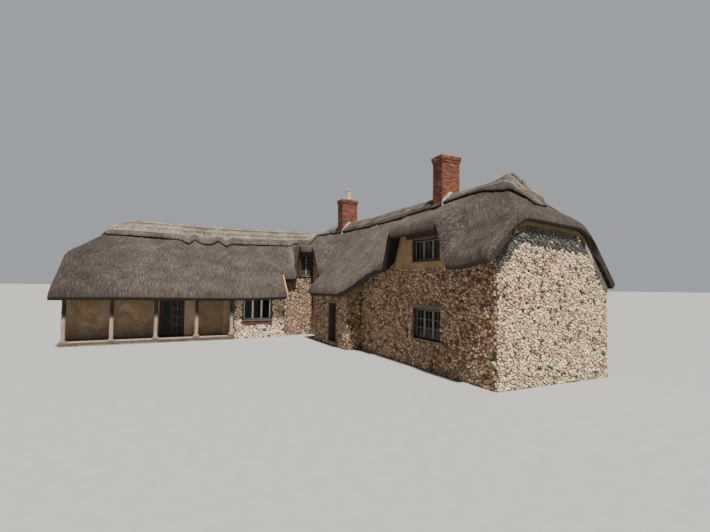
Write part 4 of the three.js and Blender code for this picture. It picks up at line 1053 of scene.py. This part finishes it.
def stones(builder, face, span, top, openings=(), pitch=(0.15, 0.105), proud=(0.012, 0.04),
           profile=FLAT_STONE, shade_band=None, ceiling=None, gap=0.006):
    """Rubble from the ground up: each stone fills its share of the wall, so sizes and outlines differ.

    Pitch is the mean distance of stones along and up the wall. The band of stones under the thatch that are
    painted dark as its shadow is given by its depth and by where along the wall it ends."""
    low, high = face.span(*span)
    middle, ring = stone_cells(low, high, top, pitch, gap)
    ring += rng.normal(0, 0.004, ring.shape)
    solid = trim_cells(middle, ring, face.openings(openings))
    ring[..., 0] = np.clip(ring[..., 0], low, high)
    roof_line = (ceiling or face.soffit)(ring[..., 0])
    ring[..., 1] = np.clip(ring[..., 1], 0.002, np.minimum(roof_line, top))
    size = np.ptp(ring, axis=1).min(-1)
    solid &= (size > 0.035) & (middle[:, 0] > low) & (middle[:, 0] < high)
    ring = ring[solid]
    middle, count = ring.mean(1, keepdims=True), int(solid.sum())
    points = face.world(stone_rings(ring, middle, proud, profile))
    tint = rng.uniform(0, FLINT_FROM, count)
    tint[rng.random(count) < FLINT_SHARE] = FLINT_TINT
    # Painted shade: stones in a band under the thatch take the darkest tints, for the shadow of its overhang.
    if shade_band:
        foot = face.soffit(np.minimum(middle[:, 0, 0], shade_band[1])) - shade_band[0]
        dark = rng.random(count) < 0.985 * smoothstep((middle[:, 0, 1] - foot) / 0.12)
        tint = np.where(dark, rng.uniform(SHADE_BAND_FROM, 1.0, count), tint)
    each = STONE_CORNERS * len(profile)
    builder.add(points, stone_faces(count, each), np.repeat(tint, each))


# Openings: from and to along the wall, and their heights
EYEBROW_OPENING = ((-7.9, -6.12), (4.18, 5.05))
FRONT_OPENING = ((-7.9, -6.2), (1.15, 2.33))
ROOM_OPENING = ((-7.22, -5.62), (1.08, 2.29))
CORNER_OPENING = ((-3.48, -2.81), (3.7, 5.1))
DOOR_OPENING = ((-0.33, 0.57), (0.0, 2.23))
REAR_OPENINGS, WING_OPENINGS = (
    [((middle - 0.65, middle + 0.65), FRONT_OPENING[1]) for middle in middles]
    for middles in ((-7.2, -1.0, 5.2), (-12.8, -7.0)))
BROW_SPAN, BROW_FOOT = (-8.75, -4.85), 3.88


def beyond(span, reach):
    """A span made longer at its ends, by one length or by one for each."""
    before, after = np.broadcast_to(reach, 2)
    return span[0] - before, span[1] + after


def widened(opening, beside, above=0.0, below=0.0):
    span, (low, high) = opening
    return beyond(span, beside), (low - below, high + above)


def under_brow(u):
    """The foot of the rendered panel under the eyebrow, and the thatch beside it."""
    inside = (-u > BROW_SPAN[0]) & (-u < BROW_SPAN[1])
    return np.where(inside, BROW_FOOT, MAIN_FRONT.soffit(u))


def build_stones():
    # Painted shade: how deep the band of dark stones under the near hip reaches, and where along the gable it
    # ends.
    shade_band = (0.8, HIP_FOOT["rear"] - 0.3)
    fine = dict(pitch=(0.115, 0.078), proud=(0.02, 0.05), profile=ROUND_STONE, gap=0.008, shade_band=shade_band)
    broad = dict(pitch=(0.23, 0.1), proud=(0.014, 0.04), profile=ROUND_STONE)
    room = dict(broad, openings=[widened(ROOM_OPENING, 0.08, 0.07, 0.3)])
    front = dict(openings=[widened(FRONT_OPENING, 0.02, 0.17, 0.07)], ceiling=under_brow)
    door, corner = widened(DOOR_OPENING, 0.07, 0.15), widened(CORNER_OPENING, 0.08, 0.1, 0.1)
    rear, wing_rear = ([widened(opening, 0.01, 0.17, 0.07) for opening in row]
                       for row in (REAR_OPENINGS, WING_OPENINGS))
    coats = (
        ("near_gable_stones", "gable_stone", [(NEAR_GABLE, MAIN_FRONT, MAIN_REAR, 5.8, fine)]),
        ("far_gable_stones", "stone", [
            (FAR_GABLE, MAIN_FRONT, MAIN_REAR, 5.8, {}),
            (MAIN_FRONT, WING_REAR, FAR_GABLE, 4.4, {})]),
        ("main_front_stones", "brown_stone", [(MAIN_FRONT, NEAR_GABLE, OUT_NEAR, 4.6, front)]),
        ("main_rear_stones", "stone", [(MAIN_REAR, NEAR_GABLE, FAR_GABLE, 4.0, dict(openings=rear))]),
        ("outshut_stones", "brown_stone", [
            (OUT_NEAR, OUT_FRONT, MAIN_FRONT, 4.4, {}),
            (OUT_FRONT, OUT_NEAR, OUT_FAR, 3.6, dict(openings=[door])),
            (OUT_FAR, OUT_FRONT, MAIN_FRONT, 4.4, {})]),
        ("inner_corner_stones", "brown_stone", [
            (MAIN_FRONT, OUT_FAR, WING_FRONT, 5.3, {}),
            (WING_FRONT, ROOM_RIGHT, MAIN_FRONT, 5.3, dict(openings=[corner])),
            (ROOM_RIGHT, ROOM_FRONT, WING_FRONT, 4.2, {})]),
        ("garden_room_stones", "stone", [
            (ROOM_FRONT, ROOM_LEFT, ROOM_RIGHT, 4.2, room),
            (ROOM_LEFT, ROOM_FRONT, WING_FRONT, 4.2, broad)]),
        ("wing_end_stones", "stone", [(WING_END, WING_FRONT, WING_REAR, 4.7, {})]),
        ("wing_rear_stones", "stone", [(WING_REAR, WING_END, MAIN_FRONT, 4.0, dict(openings=wing_rear))]),
    )
    for name, material, stretches in coats:
        builder = Builder()
        for face, start, end, top, options in stretches:
            stones(builder, face, (start.plane, end.plane), top, **options)
        builder.piece(name, material, slot="rubble_stone")


def even_steps(low, high, pitch, least=1):
    """The ends of parts of equal length, no shorter than the pitch."""
    return np.linspace(low, high, max(int((high - low) / pitch), least) + 1)


def plaster(name, face, span, height, material, openings=()):
    """A skin of render on a wall, uneven as hand-laid work is."""
    relief, step = 0.010, 0.055
    low, high = face.span(*span)
    u, z = even_steps(low, high, step, 2), even_steps(*height, step, 2)
    openings = face.openings(openings)
    for a, b, bottom, top in openings:
        u, z = snap(snap(u, a), b), snap(snap(z, bottom), top)
    grid_u, grid_z = np.meshgrid(u, z)
    grid_z = np.minimum(grid_z, np.maximum(face.soffit(u), height[0] + 0.02)[None])
    bumps = relief * noise(grid_u / 0.42, grid_z / 0.36, 71)
    bumps = bumps + 0.45 * relief * noise(grid_u / 0.13, grid_z / 0.12, 72)
    points = np.stack([grid_u, grid_z, 0.006 + relief + bumps], -1)
    faces = grid_faces(len(z), len(u), False)
    corners = points.reshape(-1, 3)[np.array(faces)]
    centre_u, centre_z, _ = corners.mean(1).T
    keep = np.ptp(corners, axis=1)[:, :2].min(-1) > 1e-4
    for a, b, bottom, top in openings:
        keep &= ~((centre_u > a) & (centre_u < b) & (centre_z > bottom) & (centre_z < top))
    builder = Builder()
    builder.add(face.world(points), [f for f, k in zip(faces, keep) if k])
    border = [(points[0], True), (points[-1], False), (points[:, 0], False), (points[:, -1], True)]
    for edge, flip in border:
        back = edge * [1, 1, 0] - [0, 0, 0.004]
        builder.sheet(face.world(np.stack([edge, back])), not flip)
    builder.piece(name, material, slot="limewash", smooth=True)


def snap(values, target):
    """The same steps with the nearest one moved to the target."""
    values = values.copy()
    values[np.abs(values - target).argmin()] = target
    return values


def build_render():
    plaster("veranda_wall_limewash", WING_FRONT, (-16.1, -11.66), (0.2, 3.2), "limewash")
    plaster("veranda_head_limewash", WING_FRONT, (-11.66, -10.38), (2.32, 3.2), "limewash")
    opening = widened(EYEBROW_OPENING, 0.0, 0.09, 0.05)
    plaster("brow_render", MAIN_FRONT, BROW_SPAN, (BROW_FOOT, 5.5), "ochre", [opening])


def boards(builder, span, pitch, upright, proud=0.018):
    """Boards nailed to the wall under the veranda, each a little out of line with the next."""
    height = (0.21, 2.9)
    low, high = WING_FRONT.span(*span)
    for a, b in itertools.pairwise(even_steps(*((low, high) if upright else height), pitch)):
        out = proud + rng.uniform(-0.004, 0.004)
        outline = (low, a + 0.002, high, b - 0.003)
        if upright:
            outline = (a + 0.003, height[0], b - 0.003, height[1])
        WING_FRONT.box(builder, outline, (0, out), 0.003, rng.uniform(0.85, 1.1))


def build_boarding():
    upright, level = Builder(), Builder()
    boards(upright, (-10.36, -9.62), 0.145, True)
    boards(level, (-9.62, -8.27), 0.128, False)
    boards(upright, (-8.27, -7.76), 0.127, True, 0.03)
    upright.piece("veranda_upright_boards", "cream_uprights", slot="limewash")
    level.piece("veranda_level_boards", "cream_boards", slot="limewash")


# Chimneys
CHIMNEYS = {
    "near_chimney": dict(half=0.49, y0=-5.21, y1=-4.52, top=9.23),
    "far_chimney": dict(half=0.55, y0=5.43, y1=6.19, top=9.06),
}
CORBEL_OUT, CORBEL_FOOT, CORBEL_NECK = 0.06, 0.33, 0.055
CORBEL_COURSE, CORBEL_STEP_COURSE = 0.0825, 0.11
BRICK_LENGTH, LEAST_BRICK, COURSE, JOINT = 0.225, 0.03, 0.075, 0.010


def brick_courses(top, foot):
    """Height, thickness and standing-out of each course from the corbel down."""
    z = top - CORBEL_FOOT
    rows = [(top - CORBEL_NECK - k * CORBEL_COURSE, CORBEL_COURSE, CORBEL_OUT) for k in (1, 2)]
    rows.append((z, CORBEL_STEP_COURSE, CORBEL_OUT / 2))
    while z > foot:
        z -= COURSE
        rows.append((z, COURSE, 0.0))
    return rows


def course(low, high, long, shift):
    """From and to of each brick in a course, which begins with a cut brick if it is shifted."""
    u = low - long * shift
    while u < high:
        a, b = max(u, low), min(u + long - JOINT, high)
        u += long
        if b - a > LEAST_BRICK:
            yield a, b


def lay_bricks(name, spec):
    half, y0, y1, top = spec["half"], spec["y0"], spec["y1"], spec["top"]
    sides = (("near", y0, (-half, half)), ("far", y1, (-half, half)), ("front", -half, (y0, y1)),
             ("rear", half, (y0, y1)))
    bricks = Builder()
    for turn, (facing, plane, span) in enumerate(sides):
        face = Face(facing, plane)
        low, high = face.span(*span)
        for row, (z, thick, out) in enumerate(brick_courses(top, 6.3)):
            stand = out + 0.007
            shift = 0.5 * ((row + turn // 2) % 2)
            for a, b in course(low - stand, high + stand, BRICK_LENGTH, shift):
                depths = (-0.02, stand + rng.uniform(-0.002, 0.003))
                tint = rng.uniform(0, 0.88) if rng.random() > 0.06 else 1.0
                face.box(bricks, (a, z + JOINT / 2, b, z + thick - JOINT / 2), depths, 0.004, tint)
    bricks.piece(name + "_bricks", "brick", slot="brick")


def dress_lead(name, spec):
    """Lead on the near, rear and far sides of a chimney, turned out over the thatch."""
    half, y0, y1 = spec["half"], spec["y0"], spec["y1"]
    corners = np.array([(-half, y0), (half, y0), (half, y1), (-half, y1)])
    path = np.concatenate([np.linspace(a, b, 14)[1:] for a, b in itertools.pairwise(corners)])
    path = np.concatenate([corners[:1], path])
    middle = np.array([0, (y0 + y1) / 2])
    out = np.sign(path - middle) * (np.abs(path - middle) > np.array([half, (y1 - y0) / 2]) - 0.001)
    step = np.arange(len(path))
    rows = []
    for reach, rise in ((0.0, 0.15), (0.035, 0.13), (0.08, 0.075), (0.125, 0.03), (0.14, -0.05)):
        spot = path + out * (reach * (1 + 0.15 * noise(step / 2.3, reach * 9, 31))[:, None])
        cap = np.where(np.abs(spot[:, 0]) < MAIN_CAP_HALF, 0.11, 0.0)
        jitter = 0.02 * noise(step / 1.7, reach * 20, 33)
        rows.append(np.c_[spot, roof(spot[:, 0], spot[:, 1]) + cap + rise + jitter])
    skirt = Builder()
    skirt.sheet(rows, True)
    skirt.piece(name + "_flashing", "lead", slot="lead", smooth=True)


def turned(profile, sides):
    """A round shape from the radius and height of each ring."""
    radius, height = np.array(profile, float).T
    angle = np.arange(sides) * 2 * np.pi / sides
    x, y = radius[:, None] * np.cos(angle), radius[:, None] * np.sin(angle)
    points = np.stack([x, y, np.broadcast_to(height[:, None], x.shape)], -1)
    return points, ring_faces(len(profile), sides)


def build_chimneys():
    for name, spec in CHIMNEYS.items():
        lay_bricks(name, spec)
        dress_lead(name, spec)
    low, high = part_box("chimney_pot")
    centre, foot, tall = (low + high) / 2, low.z, high.z - low.z
    profile = [(0.09, 0), (0.142, 0), (0.140, 0.03), (0.131, 0.05), (0.126, 0.30), (0.132, 0.33),
               (0.132, 0.36), (0.124, 0.38)]
    rim = [(0.121, 0.14), (0.128, 0.12), (0.148, 0.10), (0.150, 0.03), (0.142, 0.004), (0.13, 0),
           (0.10, 0.01), (0.09, 0.05)]
    profile += [(radius, tall - down) for radius, down in rim] + [(0.09, 0)]
    pot = Builder()
    points, faces = turned(profile, 36)
    pot.add(points + [centre.x, centre.y, foot], faces)
    pot.piece("chimney_pot_clay", "clay", slot="clay_pot", replaces=["chimney_pot"], smooth=True)


# Windows
BAR_HALF = 0.009


def casement(name, face, lights, rows, material, sash=0.042, middle_bars=0, surround=None, edge=0.06):
    """A window in the box of its node: frame, mullions, casements, glazing bars and glass."""
    low_u, high_u, z0, z1, back, front = face.extent(name)
    inside, glass = Builder(), Builder()
    outer = Builder() if surround else inside
    face.box(outer, (low_u, z0, high_u, z0 + edge), (back, front), 0.005)
    face.box(outer, (low_u, z1 - edge, high_u, z1), (back, front), 0.005)
    posts = np.linspace(low_u, high_u - edge, lights + 1)
    for index, u in enumerate(posts):
        part = inside if 0 < index < lights else outer
        face.box(part, (u, z0 + edge, u + edge, z1 - edge), (back, front - 0.002), 0.005)
    leaf = front - 0.022
    foot, head = z0 + edge + 0.003, z1 - edge - 0.003
    for left, right in zip(posts[:-1] + edge + 0.003, posts[1:] - 0.003):
        a, b, low, high = left + sash, right - sash, foot + sash, head - sash
        for outline in ((left, foot, right, low), (left, high, right, head), (left, low, a, high),
                        (b, low, right, high)):
            face.box(inside, outline, (leaf - 0.04, leaf), 0.004)
        levels = [lerp(low, high, k / rows) for k in range(1, rows)]
        uprights = [lerp(a, b, k / (middle_bars + 1)) for k in range(1, middle_bars + 1)]
        for outline in ([(a, z - BAR_HALF, b, z + BAR_HALF) for z in levels]
                        + [(u - BAR_HALF, low, u + BAR_HALF, high) for u in uprights]):
            face.box(inside, outline, (leaf - 0.03, leaf - 0.006), 0.003)
        pane = (left + 0.01, foot + 0.01, right - 0.01, head - 0.01)
        face.box(glass, pane, (leaf - 0.024, leaf - 0.018), 0.001)
    inside.piece(name + "_casements", material, slot="window_frame", replaces=[name])
    if surround:
        outer.piece(name + "_frame", surround, slot="dark_timber")
    glass.piece(name + "_glass", "glass", slot="window_glass")


def timber_lintel(name, face, opening, reach, deep):
    low, high = face.span(*beyond(opening[0], reach))
    foot = opening[1][1]
    part = Builder()
    face.box(part, (low, foot, high, foot + deep), (-0.03, 0.028), 0.012)
    part.piece(name, "oak_beam", slot="weathered_timber")


SILL_LENGTH = 0.55


def sill(name, face, opening, reach, thick=0.06, proud=0.06, material="pad_stone"):
    low, high = face.span(*beyond(opening[0], reach))
    top = opening[1][0]
    part = Builder()
    for a, b in itertools.pairwise(even_steps(low, high, SILL_LENGTH)):
        depths = (-0.11, proud + rng.uniform(-0.004, 0.004))
        face.box(part, (a + 0.002, top - thick, b - 0.002, top), depths, 0.012)
    part.piece(name, material, slot="rubble_stone")


def brick_band(name, reach, height, upright=False):
    """A band of bricks in the garden room's wall, as courses or on end."""
    low, high = ROOM_FRONT.span(*beyond(ROOM_OPENING[0], reach))
    part = Builder()
    long, thick = (COURSE, height[1] - height[0]) if upright else (BRICK_LENGTH, COURSE)
    for row in range(max(round((height[1] - height[0]) / thick), 1)):
        z = height[0] + row * thick
        for a, b in course(low, high, long, 0.5 * (row % 2)):
            depths = (-0.02, 0.022 + rng.uniform(-0.003, 0.003))
            outline = (a, z + 0.004, b, z + thick - JOINT)
            ROOM_FRONT.box(part, outline, depths, 0.004, rng.uniform(0.97, 1.0))
    part.piece(name, "brick", slot="brick")


def build_windows():
    leaded = dict(sash=0.022, middle_bars=1, surround="dark_upright")
    casement("eyebrow_window", MAIN_FRONT, 3, 1, "pale_oak", **leaded)
    casement("front_window", MAIN_FRONT, 3, 3, "pale_oak", **leaded)
    casement("garden_room_window", ROOM_FRONT, 3, 1, "white", 0.024, edge=0.05)
    casement("corner_window", WING_FRONT, 2, 5, "pale_oak", **leaded)
    unseen = [(f"{side}_{{}}_{index + 1}", face, opening) for side, face, openings in
              (("rear", MAIN_REAR, REAR_OPENINGS), ("wing_rear", WING_REAR, WING_OPENINGS))
              for index, opening in enumerate(openings)]
    for name, face, _ in unseen:
        casement(name.format("window"), face, 2, 3, "white", middle_bars=1)
    timber_lintel("eyebrow_lintel", MAIN_FRONT, EYEBROW_OPENING, 0.12, 0.09)
    timber_lintel("front_window_lintel", MAIN_FRONT, FRONT_OPENING, 0.18, 0.17)
    timber_lintel("corner_lintel", WING_FRONT, CORNER_OPENING, (0.12, 0.09), 0.1)
    timber_lintel("front_door_lintel", OUT_FRONT, DOOR_OPENING, 0.17, 0.15)
    for name, face, opening in unseen:
        timber_lintel(name.format("lintel"), face, opening, 0.18, 0.17)
        sill(name.format("sill"), face, opening, 0.06)
    sill("front_window_sill", MAIN_FRONT, FRONT_OPENING, 0.08)
    sill("eyebrow_sill", MAIN_FRONT, EYEBROW_OPENING, 0.08, 0.05, 0.05, "oak_beam")
    sill("garden_room_sill", ROOM_FRONT, ROOM_OPENING, 0.14, 0.09, 0.055, "kerb")
    sill("corner_sill", WING_FRONT, CORNER_OPENING, 0.06, 0.05, 0.05, "oak_beam")
    (left, right), (foot, head) = widened(CORNER_OPENING, 0.01, 0.06, 0.04)
    jambs = Builder()
    for low, high in ((left - 0.46, left), (right, MAIN_FRONT.plane - 0.005)):
        WING_FRONT.box(jambs, (low, foot, high, head), (-0.02, 0.05), 0.008)
    jambs.piece("corner_window_boards", "dark_upright", slot="dark_timber")
    foot, head = ROOM_OPENING[1]
    brick_band("garden_room_sill_bricks", 0.16, (foot - 0.28, foot - 0.13))
    brick_band("garden_room_head_bricks", 0.12, (head, head + 0.11), True)


# Doors
def hinge_pins(builder, pin, leaf, lift):
    low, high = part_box(leaf)
    for share in (0.1, 0.48, 0.86):
        z = low.z + share * (high.z - low.z) + lift
        builder.add(*tube([(pin[0], pin[1], z), (pin[0], pin[1], z + 0.044)], 0.009, 10))


def glaze(name, face, outline, back, front, bars):
    """Glass in a leaf, and one upright bar and some level ones over it."""
    a, low, b, high = outline
    if bars:
        pale = Builder()
        levels = [lerp(low, high, k / (bars + 1)) for k in range(1, bars + 1)]
        u = (a + b) / 2
        for bar in [(a, z - 0.011, b, z + 0.011) for z in levels] + [(u - 0.011, low, u + 0.011, high)]:
            face.box(pale, bar, (back + 0.008, front - 0.008), 0.003)
        pale.piece(name + "_bars", "pale_oak", name, "dark_timber")
    glass = Builder()
    pane = (a - 0.01, low - 0.01, b + 0.01, high + 0.01)
    face.box(glass, pane, (back + 0.019, back + 0.025), 0.001)
    glass.piece(name + "_glass", "glass", name, "window_glass")


def door_leaf(name, facing, hinge_left, glazed, bars):
    """A leaf in the box of its node, with the hinge edge 12 mm in from the box's end."""
    face = Face(facing, 0)
    low_u, high_u, z0, z1, _, front = face.extent(name)
    back = front - 0.045
    low_u, high_u = (low_u + 0.012, high_u) if hinge_left else (low_u, high_u - 0.012)
    wood, iron = Builder(), Builder()
    stile, rail = 0.095, 0.19
    if glazed:
        a, b, low, high = low_u + stile, high_u - stile, z0 + rail, z1 - stile
        for outline in ((low_u, z0, a, z1), (b, z0, high_u, z1), (a, z0, b, low), (a, high, b, z1)):
            face.box(wood, outline, (back, front), 0.004)
        glaze(name, face, (a, low, b, high), back, front, bars)
    else:
        edges = np.linspace(low_u, high_u, 6)
        for a, b in itertools.pairwise(edges):
            outline = (a + 0.001, z0, b - 0.001, z1)
            face.box(wood, outline, (back + 0.012, front), 0.005, rng.uniform(0.8, 1.1))
        for z in (z0 + 0.2, (z0 + z1) / 2, z1 - 0.3):
            face.box(wood, (low_u + 0.03, z, high_u - 0.03, z + 0.12), (back, back + 0.014), 0.004)
            strap = (low_u + 0.01, z + 0.04, high_u - 0.12, z + 0.075)
            face.box(iron, strap, (front - 0.001, front + 0.004), 0.002)
    grip = high_u - 0.05 if hinge_left else low_u + 0.05
    face.box(iron, (grip - 0.018, 1.12, grip + 0.018, 1.32), (front - 0.001, front + 0.005), 0.002)
    knob = face.right * grip + face.out * front + [0, 0, 1.25]
    pin = face.right * grip + face.out * (front + 0.03) + [0, 0, 1.25]
    iron.add(*tube([knob, pin, pin + face.right * (-0.10 if hinge_left else 0.10)], 0.007, 8))
    wood.piece(name + "_joinery", "dark_upright", name, "dark_timber", [name])
    iron.piece(name + "_ironwork", "iron", name, "ironwork")


def door_frame(name, facing, joints):
    face = Face(facing, 0)
    low_u, high_u, z0, z1, _, front = face.extent(name)
    a, b, head = low_u + 0.07, high_u - 0.07, z1 - 0.07
    wood, iron = Builder(), Builder()
    for outline in ((low_u, z0, a, z1), (b, z0, high_u, z1), (a, head, b, z1)):
        face.box(wood, outline, (front - 0.11, front), 0.005)
    for joint, leaf in joints:
        pin = next(j["pos_m"] for j in frame["joints"] if j["name"] == joint)
        hinge_pins(iron, pin, leaf, -0.045)
        pins = Builder()
        hinge_pins(pins, pin, leaf, 0.0003)
        pins.piece(leaf + "_pins", "iron", leaf, "ironwork")
    wood.piece(name + "_joinery", "dark_upright", slot="dark_timber", replaces=[name])
    iron.piece(name + "_pins", "iron", slot="ironwork")


def build_doors():
    door_leaf("veranda_leaf_left", "near", True, True, 0)
    door_leaf("veranda_leaf_right", "near", False, True, 3)
    door_leaf("front_door_leaf", "front", True, False, 0)
    door_frame("veranda_door_frame", "near", [("veranda_left_hinge", "veranda_leaf_left"),
                                              ("veranda_right_hinge", "veranda_leaf_right")])
    door_frame("front_door_frame", "front", [("front_door_hinge", "front_door_leaf")])


# Veranda
def pad_stone(name, seed):
    """A rounded, roughly squared block in the box of its node."""
    low, high = (np.array(corner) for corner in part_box(name))
    rows, columns = 9, 28
    v = np.linspace(-math.pi / 2, math.pi / 2, rows)[:, None]
    h = np.arange(columns)[None] * 2 * np.pi / columns

    def squared(value, power):
        return np.sign(value) * np.abs(value) ** power

    flat = squared(np.cos(v), 0.25)
    unit = np.stack([flat * squared(np.cos(h), 0.45), flat * squared(np.sin(h), 0.45),
                     squared(np.sin(v), 0.35) + 0 * h], -1)
    x, y, z = np.split(unit, 3, -1)
    unit = unit * (1 + 0.035 * noise(x * 1.7 + seed, y * 1.7 + z * 1.3, 11))
    points = np.clip((low + high) / 2 + unit * ((high - low) / 2), low, high)
    points = np.concatenate([points, points[:, :1]], 1)
    part = Builder()
    part.sheet(points)
    part.piece(name + "_stone", "pad_stone", slot="floor_stone", replaces=[name], smooth=True)


def veranda_post(name, seed):
    """A tapering oak post, its upper half painted dark as the shadow of the eave."""
    rows, columns = 21, 28
    low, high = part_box(name)
    centre, half = (low + high) / 2, (high.x - low.x) / 2
    z = np.linspace(low.z, high.z, rows)
    angle = np.arange(columns) * 2 * np.pi / columns
    share = (z - low.z)[:, None] / (high.z - low.z)
    square = (np.abs(np.cos(angle)) ** 5 + np.abs(np.sin(angle)) ** 5) ** (-1 / 5)
    size = half * (1 - 0.10 * share + 0.012 * noise(z[:, None] / 0.4, seed * 5, 5)) * 0.985
    crack = 0.03 * noise(angle * 7, seed * 3, 6)[None] + 0.02 * noise(angle * 3, z[:, None] / 0.3, 7)
    radius = np.minimum(size * np.minimum(square, 1.22) * (1 + crack), half * 1.24)
    x = np.clip(centre.x + radius * np.cos(angle), low.x, high.x)
    y = np.clip(centre.y + radius * np.sin(angle), low.y, high.y)
    rings = np.stack([x, y, np.broadcast_to(z[:, None], x.shape)], -1)
    rings = np.concatenate([rings, rings[:, :1]], 1)
    # Painted shadow: the upper half of the post is darkened where the eave's shadow falls.
    eave_shadow = lerp(1, 0.16, smoothstep((share[:, 0] - 0.5) / 0.12))
    post = Builder()
    post.sheet(rings, tint=np.repeat(eave_shadow, columns + 1))
    post.piece(name + "_oak", "post", slot="weathered_timber", replaces=[name], smooth=True)


def build_veranda():
    for index in range(5):
        veranda_post(f"veranda_post_{index + 1}", index)
        pad_stone(f"post_pad_{index + 1}", index)
    kerb = Builder()
    face = Face("near", 4.275)
    u = WING_END.plane
    while u < ROOM_LEFT.plane - 0.01:
        length = min(rng.uniform(0.35, 0.95), ROOM_LEFT.plane - u)
        outline = (u + 0.004, 0.075, u + length - 0.004, 0.2 - rng.uniform(0, 0.006))
        face.box(kerb, outline, (-0.12, rng.uniform(0.006, 0.022)), 0.014)
        u += length
    kerb.piece("veranda_kerb", "kerb", slot="floor_stone")
    rafters = Builder()
    for x in np.arange(-15.9, -5.0, 0.48):
        y = np.linspace(4.14, 4.46, 3) if x > ROOM_LEFT.plane else np.linspace(4.14, 5.14, 5)
        rafters.add(*tube(np.c_[x + 0 * y, y, roof(x + 0 * y, y) - THATCH - 0.01], 0.045, 8))
    rafters.piece("veranda_rafters", "dark_upright", slot="dark_timber", smooth=True)


# Boards and fillets under the edges of the thatch
def strip(name, face, u, upper, tall, depths, material, slot="weathered_timber"):
    """A board on a wall, with its upper edge at the heights in `upper`."""
    back, front = depths
    corners = [(upper, back), (upper, front), (upper - tall, front), (upper - tall, back), (upper, back)]
    ring = face.world([np.stack([u, z, u * 0 + d], -1) for z, d in corners])
    part = Builder()
    part.sheet(ring, True)
    part.add(ring[:4, 0], [(0, 1, 2, 3)])
    part.add(ring[:4, -1], [(3, 2, 1, 0)])
    part.piece(name, material, slot=slot)


def build_trims():
    foot = HIP_FOOT
    for name, face, ends, tall, proud, material, slot in (
            ("near_hip_fascia", NEAR_GABLE, (foot["front"] + 0.02, foot["rear"] - 0.02), 0.17, 0.062,
             "ochre_wood", "weathered_timber"),
            ("near_rear_fillet", NEAR_GABLE, (foot["rear"], 2.69), 0.22, 0.05, "grey_fillet", "limewash"),
            ("far_hip_fascia", FAR_GABLE, (foot["far_front"], foot["far_rear"]), 0.13, 0.045,
             "ochre_wood", "weathered_timber"),
            ("far_rear_fillet", FAR_GABLE, (foot["far_rear"], 2.74), 0.15, 0.05, "grey_fillet", "limewash"),
            # Painted shade: a dark board under the eyebrow thatch, standing for the shade over the render there.
            ("eyebrow_shade_board", MAIN_FRONT, (-8.3, -5.7), 0.29, 0.05, "dark_upright", "dark_timber")):
        u = np.linspace(*face.span(*ends), 26)
        strip(name, face, u, face.soffit(u) + 0.03, tall, (-0.005, proud), material, slot)
    y = np.linspace(WING_EAVE + 0.03, CORNER_EAVE + 0.12, 8)
    upper = roof(CORNER_LEFT - 0.02 + 0 * y, y) - 0.06
    strip("corner_verge_board", Face("rear", CORNER_LEFT), y, upper, 0.2, (-0.01, 0.05), "terracotta")


# Camera, light and floor
def build_stage():
    def show(name, data):
        thing = bpy.data.objects.new(name, data)
        bpy.context.scene.collection.objects.link(thing)
        return thing

    aim = Vector((math.sin(YAW) * math.cos(PITCH), math.cos(YAW) * math.cos(PITCH), math.sin(PITCH)))
    right = Vector((math.cos(YAW), -math.sin(YAW), 0))
    up = right.cross(aim)
    right, up = (math.cos(ROLL) * right + math.sin(ROLL) * up, math.cos(ROLL) * up - math.sin(ROLL) * right)
    camera = show("camera", bpy.data.cameras.new("camera"))
    camera.data.lens, camera.data.sensor_width, camera.data.clip_end = LENS, SENSOR, 300
    camera.matrix_world = Matrix.Translation(EYE) @ Matrix((right, up, -aim)).transposed().to_4x4()
    bpy.context.scene.camera = camera

    key = show("key", bpy.data.lights.new("key", "SUN"))
    key.data.energy, key.data.color, key.data.angle = KEY_STRENGTH, (1.0, 0.96, 0.90), math.radians(3)
    key.rotation_euler = Vector(KEY_DIRECTION).to_track_quat("-Z", "Y").to_euler()
    world = bpy.data.worlds.new("studio")
    world.use_nodes = True
    tree = world.node_tree
    background = tree.nodes["Background"]
    background.inputs["Color"].default_value = (0.86, 0.90, 0.96, 1)
    strength = tree.nodes.new("ShaderNodeMapRange")
    seen = tree.nodes.new("ShaderNodeLightPath").outputs["Is Camera Ray"]
    tree.links.new(seen, strength.inputs["Value"])
    strength.inputs["To Min"].default_value, strength.inputs["To Max"].default_value = 0.26, 0.44
    tree.links.new(strength.outputs["Result"], background.inputs["Strength"])
    bpy.context.scene.world = world

    mesh = bpy.data.meshes.new("floor")
    reach, level = 400, -0.002
    corners = ((-reach, -reach), (reach, -reach), (reach, reach), (-reach, reach))
    mesh.from_pydata([(*corner, level) for corner in corners], [], [(0, 1, 2, 3)])
    pale = Graph("studio_floor", 0.9, 0.2)
    speck = pale.noise(3.0, 2.0)
    color = pale.ramp(speck, (0.3, (0.29, 0.285, 0.275)), (0.7, (0.31, 0.305, 0.295)))
    mesh.materials.append(pale.done(color))
    show("floor", mesh)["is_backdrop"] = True


build_stage()
build_thatch()
build_caps()
build_fringe()
build_stones()
build_render()
build_boarding()
build_chimneys()
build_windows()
build_doors()
build_veranda()
build_trims()

# The model's own solids, where no finer piece takes their place
PLAIN = {
    "rubble_stone": "mortar", "limewash": "limewash", "floor_stone": "flags", "floor_boards": "boards",
    "weathered_timber": "oak", "brick": "brick_mortar", "clay_pot": "clay", "dark_timber": "dark_upright",
    "window_frame": "white", "thatch": "thatch", "ridge_thatch": "cap",
}
for row in frame["record"]["subparts"]:
    node = frame["nodes"][row["node"]]
    node.data.materials.clear()
    node.data.materials.append(MATERIALS[PLAIN[row["material_slot"]]])

bpy.context.view_layer.update()
visual_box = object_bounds()
boxes = {"cad": cad_box, "visual": visual_box}
{key: [list(corner) for corner in box] for key, box in boxes.items()}
